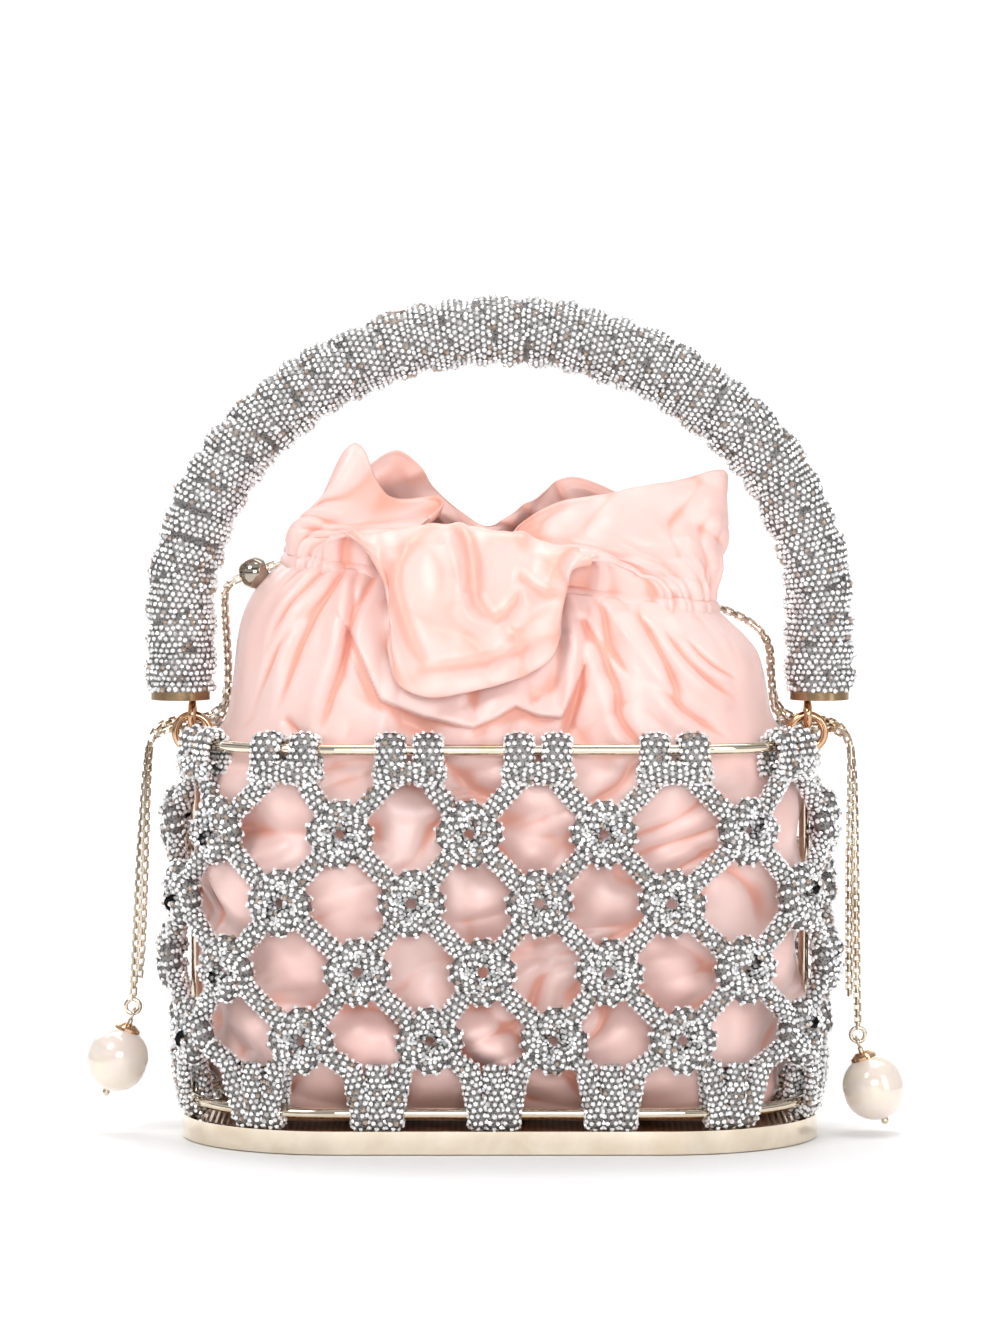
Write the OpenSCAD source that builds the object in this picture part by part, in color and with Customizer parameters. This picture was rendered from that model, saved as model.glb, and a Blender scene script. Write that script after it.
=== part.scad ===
// Flower girl basket: a stadium-shaped wire frame dressed with a knotted
// net of crystal mesh cord, with a satin drawstring pouch inside, a wrapped
// arch handle that swings, and two chain drawstrings that end in pearls.
// Origin: middle of the underside. +X right, -Y front, +Z up.

/* [Frame] */
// Length of the base, end to end
base_length = 170; // [140:1:220]
// Depth of the base, front to back
base_depth = 84; // [70:1:110]
// Height of the base band
band_height = 6; // [4:0.5:12]
// Wall of the base band
band_wall = 1.6; // [1:0.1:3]
// Thickness of the base plate
plate_thick = 2.2; // [1:0.1:4]
// Thickness of the wire of both rings
wire_d = 3; // [2:0.1:4]
// Height of the middle of the upper ring
top_ring_z = 105.4; // [90:0.1:130]
// Height of the middle of the lower ring above the base band
low_ring_rise = 4.4; // [3.8:0.1:8]
// How far the rings sit inside the edge of the base
ring_inset = 3; // [2:0.1:5]
// Thickness of the upright struts
strut_d = 2.4; // [1.6:0.1:3]
// Distance of each strut from the middle of the ring's end
strut_offset = 3.4; // [2.8:0.1:4]

/* [Net] */
// Number of knots in each row
net_columns = 12; // [10:1:14]
// Thickness of the mesh cord
cord_d = 5.5; // [4:0.1:6]
// Height of the lowest row of knots above the lower ring
knots_rise = 19.6; // [18:0.1:30]
// Width of a knot, over its outside
knot_width = 17; // [14:0.1:20]
// Thickness of a knot
knot_cord_d = 6.2; // [5:0.1:7]
// How far the net bellies out beyond the rings at mid height
net_belly = 5.6; // [4.6:0.1:8]

/* [Handle] */
// Height of the top of the handle above the table
handle_top_z = 223.5; // [200:0.5:260]
// How much larger the radius of the crown is than the reach of a leg
crown_spread = 6.8; // [1:0.1:14]
// Angle above level at which the crown meets the shoulders
shoulder_angle = 48; // [40:1:55]
// Thickness of the wrapped handle over the ridges of the ribbon
handle_d = 18.2; // [14:0.1:20]
// How deep the grooves between two ribbon turns are
wrap_groove = 0.5; // [0.2:0.1:1]
// Thickness of the tube inside the wrapping
core_d = 8; // [6:0.5:10]
// Distance of each leg's middle outside the middle of its hinge
leg_offset = 3.2; // [0:0.1:5]
// Height of the cup on the foot of each leg
cap_height = 3; // [2:0.1:6]

/* [Hinges] */
// Thickness of the wire of the hinge loops
loop_d = 2.2; // [1.6:0.1:2.6]
// Height of the hinge axis above the middle of the upper ring
hinge_rise = 6.6; // [6.4:0.1:8]
// Thickness of the wire of the eyes under the handle
eye_d = 2.2; // [1.6:0.1:2.6]
// Play between an eye and its loop, measured on the radius
eye_play = 0.9; // [0.5:0.1:1.2]

/* [Pouch] */
// Thickness of the satin and its lining
satin_wall = 1.4; // [1:0.1:3]
// Height of the drawstring channel above the upper ring
channel_rise = 41.6; // [36:0.1:46]
// Height of the drawstring channel itself
channel_height = 5; // [4:0.1:8]
// Half of the length of the gathered neck
neck_half_length = 57; // [50:0.5:60]
// Half of the depth of the gathered neck
neck_half_depth = 23; // [18:0.5:26]
// Height of the ruffle above the channel at its lowest
ruffle_height = 12; // [8:0.5:20]
// How much higher the peaks of the ruffle stand
ruffle_wave = 18; // [0:0.5:18]

/* [Drawstring] */
// Width of the box chain
chain_d = 2; // [1.5:0.1:3]
// Diameter of the stopper ball
stopper_d = 8.5; // [6:0.1:10]
// Hole through the stopper ball, for both strands
stopper_bore_d = 4.6; // [4.4:0.1:6]
// Distance of the stopper ball's middle from the neck of the pouch
stopper_reach = 6.6; // [6:0.1:8]
// Lean of the pearls, outwards at the bottom
pearl_lean = 19; // [0:1:30]
// Diameter of a pearl
pearl_d = 16.5; // [10:0.1:18]
// How much longer a pearl is than it is wide
pearl_stretch = 1.2; // [0:0.1:2]
// Diameter of the cup on top of a pearl
bead_cap_d = 7; // [4:0.1:9]
// Thickness of the pin through a pearl
pin_d = 1.4; // [1:0.1:2]

/* [Hidden] */
$fn = 48;
fit = 0.05;
soft_gap = 0.4;
seam = 0.1;
strut_reach = 0.1;

straight = (base_length - base_depth) / 2;
ring_r = base_depth / 2 - ring_inset;
perimeter = 4 * straight + 2 * PI * ring_r;
pitch = perimeter / net_columns;
low_ring_z = band_height + low_ring_rise;
strut_ring_r = ring_r - 0.7;

sleeve_r = 4.7;
sleeve_length = 7;
sleeve_offset = 4.6;
bight_half = 5;
wire_hole_r = wire_d / 2 + 0.25;
hitch_anchor_z = top_ring_z - sleeve_r - cord_d / 2 - fit;
first_knots_z = low_ring_z + knots_rise;
knots_top_z = hitch_anchor_z - 14;
knots_pitch = (knots_top_z - first_knots_z) / 3;
knot_r = (knot_width - knot_cord_d) / 2;
tie_reach = knot_width / 2 - 1.5;
wrap_r = 3.2;
wrap_step = 4.2;
wrap_width = 3.6;
wrap_fan = 11;
wrap_lean = 2.6;
wrap_rise = 11.6;
wrap_slope = atan(wrap_lean / wrap_rise);
wrap_spread = wrap_step + wrap_rise * sin(wrap_fan);
wrap_anchor_z = low_ring_z + wrap_rise * cos(wrap_fan);

// Hand-tied drift of each row, from the hitches down to the wraps:
// towards the front left, towards the middle, and all round.
drift_front = [6, 5, 3, 1, 1, 0];
drift_pinch = [2.5, 1, 3, 4, 4.5, 8.5];
drift_round = [1, 3, 3.5, 3.5, 1.2, 1.5];

hinge_z = top_ring_z + hinge_rise;
hinge_x = straight + ring_r;
loop_low_z = top_ring_z - wire_d / 2 - loop_d / 2;
loop_r = (hinge_z - loop_low_z) / 2;
eye_r = loop_d / 2 + eye_play + eye_d / 2;
foot_z = hinge_z + eye_r + eye_d / 2 + cap_height;
leg_x = hinge_x + leg_offset;
crown_r = leg_x + crown_spread;
crown_z = handle_top_z - handle_d / 2 - crown_r;
joint_x = crown_r * cos(shoulder_angle);
shoulder_r = (leg_x - joint_x) / (1 - cos(shoulder_angle));
shoulder_x = leg_x - shoulder_r;
shoulder_z = crown_z + (crown_r - shoulder_r) * sin(shoulder_angle);

channel_z = top_ring_z + channel_rise;
channel_tilt = -0.11;

// Routes of the chain strands, from the neck of the pouch to the pearls.
left_upper_front = [
    [-59.4, -1.1, 152.4], [-63.6, -1.1, 150.8], [-68, -1.1, 149], [-71.4, -1, 147.4],
    [-73.2, 0, 144.6], [-73.4, 1.6, 139], [-73, 3.2, 131], [-72.8, 4.2, 122],
    [-73.6, 4.4, 113.8], [-77.2, 4.4, 109.4], [-82, 4.4, 108.5], [-88, 4, 108.2],
    [-92, 2.8, 106.6]
];
left_upper_back = [
    [-59.4, 1.1, 152.4], [-63.6, 1.1, 150.8], [-68, 1.1, 149], [-71.4, 1.2, 147.4],
    [-73.2, 2.4, 144.6], [-73.4, 4, 139], [-73, 5.8, 131], [-72.8, 7, 122],
    [-74.2, 6.8, 115], [-77.6, 5.7, 111.6], [-82, 5.4, 111], [-88.4, 1.9, 110.1],
    [-91.6, -0.6, 108], [-92.6, -1.4, 105.8]
];
left_outer = [
    [-93.6, 2.2, 104], [-94.6, 1.8, 96], [-95.4, 1.4, 86], [-96.2, 1, 75],
    [-96.8, 0.6, 64], [-97.4, 0.3, 52], [-97.9, 0, 42], [-98.2, 0, 36.4]
];
left_inner = [
    [-93.6, -1.8, 103], [-94, -2.2, 95], [-94.4, -2.4, 84],
    [-94.8, -2.4, 72], [-95.2, -2.4, 60], [-95.7, -2.3, 50], [-96.3, -2.1, 43]
];
right_upper_front = [
    [59.4, -1.1, 140.4], [62.6, -1.1, 139], [66.4, -0.9, 137], [69.8, 0, 134],
    [72, 1.8, 129.6], [72.6, 3.6, 122], [73.6, 5, 113.8], [77.2, 5, 109.4],
    [82, 5, 108.5], [88, 4.2, 108.2], [92, 2.8, 106.6]
];
right_upper_back = [
    [59.4, 1.1, 140.4], [62.6, 1.1, 139], [66.4, 1.3, 137], [69.8, 2.4, 134],
    [72, 4.2, 129.6], [72.6, 6.2, 122], [74, 6.6, 115], [77.6, 5.6, 111.6],
    [82, 5.4, 111], [88.4, 1.9, 110.1], [91.6, -0.6, 108], [92.6, -1.4, 105.8]
];
right_outer = [
    [93.6, 2.2, 104], [94.4, 1.8, 96], [94.8, 1.4, 86], [95, 1, 75],
    [95.2, 0.6, 63], [95.4, 0.3, 50], [95.6, 0, 39], [95.8, 0, 28.8]
];
right_inner = [
    [93.6, -1.8, 103], [93.6, -2.2, 95], [93.4, -2.4, 84],
    [93.2, -2.4, 72], [93.2, -2.4, 60], [93.2, -2.3, 48], [93.4, -2.1, 38]
];

gold = [0.86, 0.74, 0.56];
crystal = [0.74, 0.74, 0.76];
satin = [0.96, 0.76, 0.71];
cream = [0.93, 0.88, 0.76];

// ---- Places round the frame -------------------------------------------

// Distance round the ring, brought into 0 to one full turn from the front.
function wrapped(s) = s - perimeter * floor(s / perimeter);

// Middle of the end arc or of the straight beside a place, and its outward angle.
function seat(s) =
    let (q = wrapped(s), arc = PI * ring_r)
    q < straight ? [q, -90]
    : q < straight + arc ? [straight, -90 + 180 * (q - straight) / arc]
    : q < 3 * straight + arc ? [2 * straight + arc - q, 90]
    : q < 3 * straight + 2 * arc ? [-straight, 90 + 180 * (q - 3 * straight - arc) / arc]
    : [q - perimeter, -90];

function place(s, r, z) = let (p = seat(s)) [p[0] + r * cos(p[1]), r * sin(p[1]), z];

module at_place(s, r, z) {
    translate(place(s, r, z)) rotate([0, 0, seat(s)[1]]) children();
}

// A row's knot, counted round from the front; rows are staggered by half a pitch.
function knot_s(row, k) =
    let (s = pitch * (k + (row % 2 == 0 ? 0.5 : 0)), a = 360 * s / perimeter)
    s - drift_front[row] * cos(a) - drift_pinch[row] * sin(a) - drift_round[row];

function knots_z(row) = knots_top_z - knots_pitch * (row - 1);
function knots_r(row) = ring_r + (row == 1 || row == 4 ? net_belly - 1 : net_belly);

// Where cord leaves a hitch, a knot or a wrap towards one side.
function anchor(row, k, side) =
    row == 0 ? place(knot_s(0, k) + side * bight_half, ring_r + 0.4, hitch_anchor_z)
    : row == 5 ? place(knot_s(5, k) + side * wrap_spread, ring_r + wrap_lean, wrap_anchor_z)
    : place(knot_s(row, k), knots_r(row), knots_z(row));

// The knot below on one side of a knot.
function below(row, k, side) = (row % 2 == 0 ? k : k - 1) + (side > 0 ? 1 : 0);

module rod(a, b, r) {
    v = b - a;
    translate(a)
    rotate([0, acos(v[2] / norm(v)), atan2(v[1], v[0])])
    cylinder(h = norm(v), r = r);
}

function part_way(a, b, reach) = a + (b - a) * reach / norm(b - a);

module stadium_ring(z, r, wire_r) {
    translate([0, 0, z]) {
        for (side = [-1, 1]) {
            translate([0, side * r, 0]) rotate([0, 90, 0])
            cylinder(h = 2 * straight, r = wire_r, center = true);
            translate([side * straight, 0, 0])
            rotate_extrude(angle = 180, start = side > 0 ? -90 : 90)
            translate([r, 0]) circle(r = wire_r);
        }
    }
}

module stadium(r, h) {
    for (side = [-1, 1]) translate([side * straight, 0, 0]) cylinder(h = h, r = r, $fn = 96);
    translate([-straight, -r, 0]) cube([2 * straight, 2 * r, h]);
}

// ---- Frame --------------------------------------------------------------

module base_band() {
    edge_r = base_depth / 2;
    color(gold)
    difference() {
        stadium(edge_r, band_height);
        translate([0, 0, -1]) stadium(edge_r - band_wall, band_height + 2);
    }
}

module base_plate() {
    color(gold)
    translate([0, 0, band_height - plate_thick - 0.8])
    stadium(base_depth / 2 - band_wall, plate_thick);
}

module lower_ring() {
    color(gold) stadium_ring(low_ring_z, ring_r, wire_d / 2);
}

module upper_ring() {
    color(gold) stadium_ring(top_ring_z, ring_r, wire_d / 2);
}

module strut_solid(x_side, y_side, extra = 0) {
    y = y_side * strut_offset;
    x = straight + sqrt(strut_ring_r * strut_ring_r - y * y);
    plate_top = band_height - 0.8;
    translate([x_side * x, y, plate_top])
    cylinder(h = top_ring_z - plate_top, r = strut_d / 2 + extra);
}

// Cord near an end of the cage is cut back from the struts there.
module clear_of_struts(s) {
    if (abs(abs(sin(360 * s / perimeter)) - 1) < strut_reach)
    difference() {
        children();
        for (x_side = [-1, 1], y_side = [-1, 1]) strut_solid(x_side, y_side, soft_gap);
    }
    else children();
}

module strut(x_side, y_side) {
    color(gold)
    difference() {
        strut_solid(x_side, y_side);
        stadium_ring(low_ring_z, ring_r, wire_d / 2);
        stadium_ring(top_ring_z, ring_r, wire_d / 2);
    }
}

// ---- Net ----------------------------------------------------------------

// The cord from a knot towards one below it; its ends are tied into both.
module strand(row, k, side) {
    a = anchor(row, k, side);
    b = anchor(row + 1, below(row, k, side), -side);
    rod(part_way(a, b, row == 0 ? 0 : tie_reach), part_way(b, a, row == 4 ? 0 : tie_reach), cord_d / 2);
}

module net_strands(row) {
    color(crystal)
    for (k = [0:net_columns - 1], side = [-1, 1])
    if (row == 0 || row == 4) clear_of_struts(knot_s(row, k)) strand(row, k, side);
    else strand(row, k, side);
}

// A knot is a round of cord with a hole in its middle.
module knot_row(row) {
    color(crystal)
    for (k = [0:net_columns - 1])
    at_place(knot_s(row, k), knots_r(row), knots_z(row))
    rotate([0, 90, 0]) rotate_extrude() translate([knot_r, 0]) circle(r = knot_cord_d / 2);
}

// Two turns over the ring, and the bight that holds them together below it.
module top_hitches() {
    color(crystal)
    for (k = [0:net_columns - 1]) {
        for (side = [-1, 1])
        at_place(knot_s(0, k) + side * sleeve_offset, ring_r, top_ring_z)
        translate([0, sleeve_length / 2, 0]) rotate([90, 0, 0])
        linear_extrude(sleeve_length) tube_section(sleeve_r, wire_hole_r);
        at_place(knot_s(0, k), ring_r, hitch_anchor_z)
        rotate([90, 0, 0]) cylinder(h = 2 * bight_half + cord_d, r = cord_d / 2, center = true);
    }
}

// Three turns of cord side by side, which fan out above the ring they hang on.
module bottom_wraps() {
    color(crystal)
    for (k = [0:net_columns - 1])
    clear_of_struts(knot_s(5, k))
    at_place(knot_s(5, k), ring_r, low_ring_z)
    for (turn = [-1, 0, 1])
    translate([0, turn * wrap_step, 0]) rotate([-turn * wrap_fan, 0, 0])
    translate([0, wrap_width / 2, 0]) rotate([90, 0, 0])
    linear_extrude(wrap_width)
    difference() {
        union() {
            circle(r = wrap_r);
            translate([wrap_lean, wrap_rise]) circle(r = wrap_r);
            polygon([
                [-wrap_r * cos(wrap_slope), wrap_r * sin(wrap_slope)],
                [wrap_r * cos(wrap_slope), -wrap_r * sin(wrap_slope)],
                [wrap_lean + wrap_r * cos(wrap_slope), wrap_rise - wrap_r * sin(wrap_slope)],
                [wrap_lean - wrap_r * cos(wrap_slope), wrap_rise + wrap_r * sin(wrap_slope)]
            ]);
        }
        circle(r = wire_hole_r + 0.3);
    }
}

// ---- Hinges and handle ----------------------------------------------------

module hinge_loop(side) {
    color(gold)
    translate([side * hinge_x, 0, (hinge_z + loop_low_z) / 2]) rotate([90, 0, 0])
    rotate_extrude() translate([loop_r, 0]) circle(r = loop_d / 2);
}

module tube_section(r_out, r_in) {
    difference() {
        circle(r = r_out);
        if (r_in > 0) circle(r = r_in);
    }
}

// Part of the arch between two angles above level, on an arc round a centre.
module arch_arc(cx, cz, arc_r, from, to, r_out, r_in) {
    translate([cx, 0, cz]) rotate([90, 0, 0])
    rotate_extrude(angle = to - from, start = from)
    translate([arc_r, 0]) tube_section(r_out, r_in);
}

module arch_leg(side, low, high, r_out, r_in) {
    translate([side * leg_x, 0, low])
    linear_extrude(high - low) tube_section(r_out, r_in);
}

function ribbon_r(turn) = handle_d / 2 - (turn % 2 == 0 ? 0 : wrap_groove);

module handle_core() {
    color(gold) {
        arch_arc(0, crown_z, crown_r, shoulder_angle, 180 - shoulder_angle, core_d / 2, 0);
        for (side = [-1, 1]) {
            from = side > 0 ? 0 : 180 - shoulder_angle;
            arch_arc(side * shoulder_x, shoulder_z, shoulder_r, from, from + shoulder_angle,
                core_d / 2, 0);
            arch_leg(side, foot_z, shoulder_z, core_d / 2, 0);
        }
    }
}

// Each turn of the ribbon is a ring of its own, with a thin seam to the next.
module handle_wrap_crown() {
    turns = 17;
    step = (180 - 2 * shoulder_angle) / turns;
    gap = seam / crown_r * 180 / PI;
    color(crystal)
    for (turn = [0:turns - 1])
    arch_arc(0, crown_z, crown_r, shoulder_angle + turn * step + gap / 2,
        shoulder_angle + (turn + 1) * step - gap / 2, ribbon_r(turn), core_d / 2);
}

module handle_wrap_side(side) {
    turns = 7;
    step = shoulder_angle / turns;
    gap = seam / shoulder_r * 180 / PI;
    leg_turns = 3;
    leg_step = (shoulder_z - foot_z) / leg_turns;
    color(crystal) {
        for (turn = [0:turns - 1]) {
            from = side > 0 ? turn * step : 180 - (turn + 1) * step;
            arch_arc(side * shoulder_x, shoulder_z, shoulder_r, from + gap / 2, from + step - gap / 2,
                ribbon_r(turn + 1), core_d / 2);
        }
        for (turn = [0:leg_turns - 1])
        arch_leg(side, foot_z + turn * leg_step + (turn == 0 ? 0 : seam / 2),
            foot_z + (turn + 1) * leg_step - seam / 2, ribbon_r(turn), core_d / 2);
    }
}

module handle_cap(side) {
    cap_r = handle_d / 2 - 1.2;
    color(gold)
    difference() {
        translate([side * leg_x, 0, foot_z - cap_height]) cylinder(h = cap_height, r = cap_r);
        eye_stem(side);
    }
}

module eye_stem(side) {
    translate([side * hinge_x, 0, hinge_z + eye_r])
    cylinder(h = eye_d / 2 + cap_height / 2, r = eye_d / 2 - 0.1);
}

module handle_eye(side) {
    color(gold) {
        translate([side * hinge_x, 0, hinge_z]) rotate([0, 90, 0])
        rotate_extrude() translate([eye_r, 0]) circle(r = eye_d / 2);
        eye_stem(side);
    }
}

// ---- Pouch ----------------------------------------------------------------

section_steps = 48;

function clamped(v) = max(-1, min(1, v));

// One level of the pouch: half length, half depth, height, shift along X and tilt.
function level(half_x, half_y, z, shift = 0, tilt = 0, wave = 0) =
    [for (i = [0:section_steps - 1])
        let (
            a = 360 * i / section_steps,
            x = half_y * cos(a) + (half_x - half_y) * clamped(2.2 * cos(a)),
            lift = wave * (0.5 + 0.5 * sin(2 * a + 40) * cos(a - 20))
        )
        [x + shift, half_y * sin(a), z + tilt * x + lift]];

function strip(from, to) =
    [for (i = [0:section_steps - 1])
        let (j = (i + 1) % section_steps)
        [from + i, from + j, to + j, to + i]];

// A closed skin through levels; the last level joins the first when it is a ring.
module skin(levels, ring = false) {
    n = len(levels);
    sides = [for (l = [0:n - 2]) each strip(l * section_steps, (l + 1) * section_steps)];
    close = ring
        ? strip((n - 1) * section_steps, 0)
        : [
            [for (i = [section_steps - 1:-1:0]) i],
            [for (i = [0:section_steps - 1]) (n - 1) * section_steps + i]
        ];
    faces = concat(sides, close);
    triangles = [for (f = faces) if (len(f) == 4) each [[f[0], f[2], f[1]], [f[0], f[3], f[2]]]
        else [for (i = [len(f) - 1:-1:0]) f[i]]];
    polyhedron(points = [for (l = levels) each l], faces = triangles, convexity = 6);
}

module pouch_body() {
    // Half length and half depth inside the wraps, the net and the hitches.
    wrap_in = ring_r - wrap_r - soft_gap;
    net_in = min(strut_ring_r - strut_d / 2, ring_r + net_belly - 1 - knot_cord_d / 2) - soft_gap;
    hitch_in = ring_r - sleeve_r - soft_gap;
    chain_in = leg_x - handle_d / 2 - 2 * chain_d - 1.3;
    low = band_height + soft_gap;
    top = channel_z - channel_height / 2 - soft_gap;
    w = satin_wall;
    outer = [
        level(straight + wrap_in - 10, wrap_in - 10, low),
        level(straight + wrap_in - 3, wrap_in - 3, low + 3.4),
        level(straight + wrap_in, wrap_in, low + 9),
        level(straight + wrap_in, wrap_in, wrap_anchor_z + 3),
        level(straight + net_in, net_in, wrap_anchor_z + 12),
        level(straight + net_in, net_in, knots_top_z),
        level(straight + hitch_in, hitch_in, top_ring_z - sleeve_r - 1),
        level(straight + hitch_in, hitch_in, top_ring_z),
        level(chain_in, hitch_in, top_ring_z + sleeve_r + 3),
        level(chain_in - 0.5, hitch_in - 1, top_ring_z + 16),
        level(chain_in - 2, hitch_in - 3, top_ring_z + 24, 0, channel_tilt / 2),
        level(neck_half_length + 7, neck_half_depth + 4, top - 7, 0, channel_tilt),
        level(neck_half_length, neck_half_depth, top, 0, channel_tilt)
    ];
    inner = [
        level(neck_half_length - w, neck_half_depth - w, top, 0, channel_tilt),
        level(neck_half_length + 7 - w, neck_half_depth + 4 - w, top - 7, 0, channel_tilt),
        level(chain_in - 2 - w, hitch_in - 3 - w, top_ring_z + 24, 0, channel_tilt / 2),
        level(chain_in - w, hitch_in - w, top_ring_z + sleeve_r + 3),
        level(straight + hitch_in - w, hitch_in - w, top_ring_z - w),
        level(straight + hitch_in - w, hitch_in - w, top_ring_z - sleeve_r - 1 + w),
        level(straight + net_in - w, net_in - w, knots_top_z),
        level(straight + wrap_in - w, wrap_in - w, wrap_anchor_z + 3),
        level(straight + wrap_in - w, wrap_in - w, low + 9),
        level(straight + wrap_in - 10, wrap_in - 10, low + w)
    ];
    color(satin) skin(concat(outer, inner));
}

module pouch_channel() {
    w = satin_wall;
    half = channel_height / 2;
    color(satin)
    skin([
        level(neck_half_length, neck_half_depth, channel_z - half, 0, channel_tilt),
        level(neck_half_length + 1.6, neck_half_depth + 1.6, channel_z, 0, channel_tilt),
        level(neck_half_length, neck_half_depth, channel_z + half, 0, channel_tilt),
        level(neck_half_length - w, neck_half_depth - w, channel_z + half, 0, channel_tilt),
        level(neck_half_length - w, neck_half_depth - w, channel_z - half, 0, channel_tilt)
    ], ring = true);
}

module pouch_ruffle() {
    w = satin_wall;
    low = channel_z + channel_height / 2 + soft_gap;
    mid = low + ruffle_height * 0.6;
    high = low + ruffle_height;
    color(satin)
    skin([
        level(neck_half_length, neck_half_depth, low, 0, channel_tilt),
        level(neck_half_length - 1, neck_half_depth + 2, mid, 2, channel_tilt / 2, ruffle_wave / 2),
        level(neck_half_length - 7, neck_half_depth + 6, high, 7, 0, ruffle_wave),
        level(neck_half_length - 7 - w, neck_half_depth + 6 - w, high, 7, 0, ruffle_wave),
        level(neck_half_length - 1 - w, neck_half_depth + 2 - w, mid, 2, channel_tilt / 2,
            ruffle_wave / 2),
        level(neck_half_length - w, neck_half_depth - w, low, 0, channel_tilt)
    ], ring = true);
}

// ---- Drawstring -------------------------------------------------------------

// A strand of chain as a tube of eight sides along a route.
function heading(p, i) =
    let (v = p[min(i + 1, len(p) - 1)] - p[max(i - 1, 0)]) v / norm(v);

function tube_ring(p, i, r) =
    let (
        t = heading(p, i),
        u0 = cross(t, [0, 1, 0]),
        u = u0 / norm(u0),
        v = cross(t, u)
    )
    [for (k = [0:7]) p[i] + r * (u * cos(45 * k) + v * sin(45 * k))];

module chain_tube(route) {
    r = chain_d / 2;
    n = len(route);
    points = [for (i = [0:n - 1]) each tube_ring(route, i, r)];
    sides = [for (i = [0:n - 2], k = [0:7])
        let (a = 8 * i + k, b = 8 * i + (k + 1) % 8)
        each [[a, b, b + 8], [a, b + 8, a + 8]]];
    ends = [[for (k = [7:-1:0]) k], [for (k = [0:7]) 8 * (n - 1) + k]];
    color(gold) polyhedron(points = points, faces = concat(sides, ends), convexity = 8);
}

module stopper_ball() {
    between = (left_upper_front[0] + left_upper_back[0]) / 2;
    along = (left_upper_front[2] + left_upper_back[2]) / 2 - between;
    color(gold)
    translate(between + along * stopper_reach / norm(along))
    rotate([0, acos(along[2] / norm(along)), atan2(along[1], along[0])])
    difference() {
        sphere(r = stopper_d / 2);
        cylinder(h = 2 * stopper_d, r = stopper_bore_d / 2, center = true);
    }
}

function route_end(side) = side < 0 ? left_outer[len(left_outer) - 1]
    : right_outer[len(right_outer) - 1];

// The small ring that closes the end of the strands, and carries the pearl.
chain_end_r = 1.9;
function chain_end_z(side) = route_end(side)[2] - chain_end_r - 0.6;

module chain_end(side) {
    p = route_end(side);
    color(gold)
    translate([p[0], p[1], chain_end_z(side)]) rotate([90, 0, 0])
    rotate_extrude() translate([chain_end_r, 0]) circle(r = 0.6);
}

// Middle of a pearl: it hangs from its pin's eye, which links the chain end.
pin_eye_r = 1.5;
function pin_eye_z(side) = chain_end_z(side) - chain_end_r;
pearl_half = (pearl_d + pearl_stretch) / 2;
pearl_drop = pin_eye_r + 2.6 + pearl_half;

// The pearl hangs from its pin's eye with the lean of its side.
module hung(side) {
    p = route_end(side);
    translate([p[0], p[1], pin_eye_z(side)]) rotate([0, -side * pearl_lean, 0]) children();
}

module pearl_pin(side) {
    pin_low = -pearl_drop - pearl_half - 0.6;
    color(gold)
    hung(side) {
        rotate([0, 90, 0]) rotate_extrude() translate([pin_eye_r, 0]) circle(r = 0.45);
        translate([0, 0, pin_low]) cylinder(h = -pin_low - pin_eye_r, r = pin_d / 2);
        translate([0, 0, pin_low]) sphere(r = pin_d * 0.75);
    }
}

module pearl(side) {
    color(cream)
    hung(side) translate([0, 0, -pearl_drop])
    difference() {
        union() {
            for (end = [-1, 1])
            translate([0, 0, end * pearl_stretch / 2]) sphere(r = pearl_d / 2);
            cylinder(h = pearl_stretch, r = pearl_d / 2, center = true);
        }
        cylinder(h = 2 * pearl_d, r = pin_d / 2 + fit, center = true);
        translate([0, 0, pearl_half - 1.2]) cylinder(h = 4, r = bead_cap_d / 2 + fit);
    }
}

module bead_cap(side) {
    color(gold)
    hung(side) translate([0, 0, pearl_half - 1.2 - pearl_drop])
    difference() {
        union() {
            cylinder(h = 1.2, r = bead_cap_d / 2);
            translate([0, 0, 1.2]) cylinder(h = 1.2, r1 = bead_cap_d / 2, r2 = bead_cap_d / 4);
        }
        translate([0, 0, -1]) cylinder(h = 6, r = pin_d / 2 + fit);
    }
}

// ---- Everything -------------------------------------------------------------

base_band();
base_plate();
lower_ring();
upper_ring();
strut(-1, -1);  // strut_left_front
strut(-1, 1);  // strut_left_back
strut(1, -1);  // strut_right_front
strut(1, 1);  // strut_right_back
top_hitches();
knot_row(1);  // knot_row_1
knot_row(2);  // knot_row_2
knot_row(3);  // knot_row_3
knot_row(4);  // knot_row_4
net_strands(0);  // net_strands_1
net_strands(1);  // net_strands_2
net_strands(2);  // net_strands_3
net_strands(3);  // net_strands_4
net_strands(4);  // net_strands_5
bottom_wraps();
hinge_loop(-1);  // hinge_loop_left
hinge_loop(1);  // hinge_loop_right
handle_core();
handle_wrap_crown();
handle_wrap_side(-1);  // handle_wrap_left
handle_wrap_side(1);  // handle_wrap_right
handle_cap(-1);  // handle_cap_left
handle_cap(1);  // handle_cap_right
handle_eye(-1);  // handle_eye_left
handle_eye(1);  // handle_eye_right
pouch_body();
pouch_channel();
pouch_ruffle();
chain_tube(left_upper_front);  // chain_left_upper_front
chain_tube(left_upper_back);  // chain_left_upper_back
chain_tube(right_upper_front);  // chain_right_upper_front
chain_tube(right_upper_back);  // chain_right_upper_back
stopper_ball();
chain_tube(left_outer);  // chain_left_outer
chain_tube(left_inner);  // chain_left_inner
chain_tube(right_outer);  // chain_right_outer
chain_tube(right_inner);  // chain_right_inner
chain_end(-1);  // chain_end_left
chain_end(1);  // chain_end_right
pearl_pin(-1);  // pearl_pin_left
pearl_pin(1);  // pearl_pin_right
pearl(-1);  // pearl_left
pearl(1);  // pearl_right
bead_cap(-1);  // bead_cap_left
bead_cap(1);  // bead_cap_right
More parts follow.
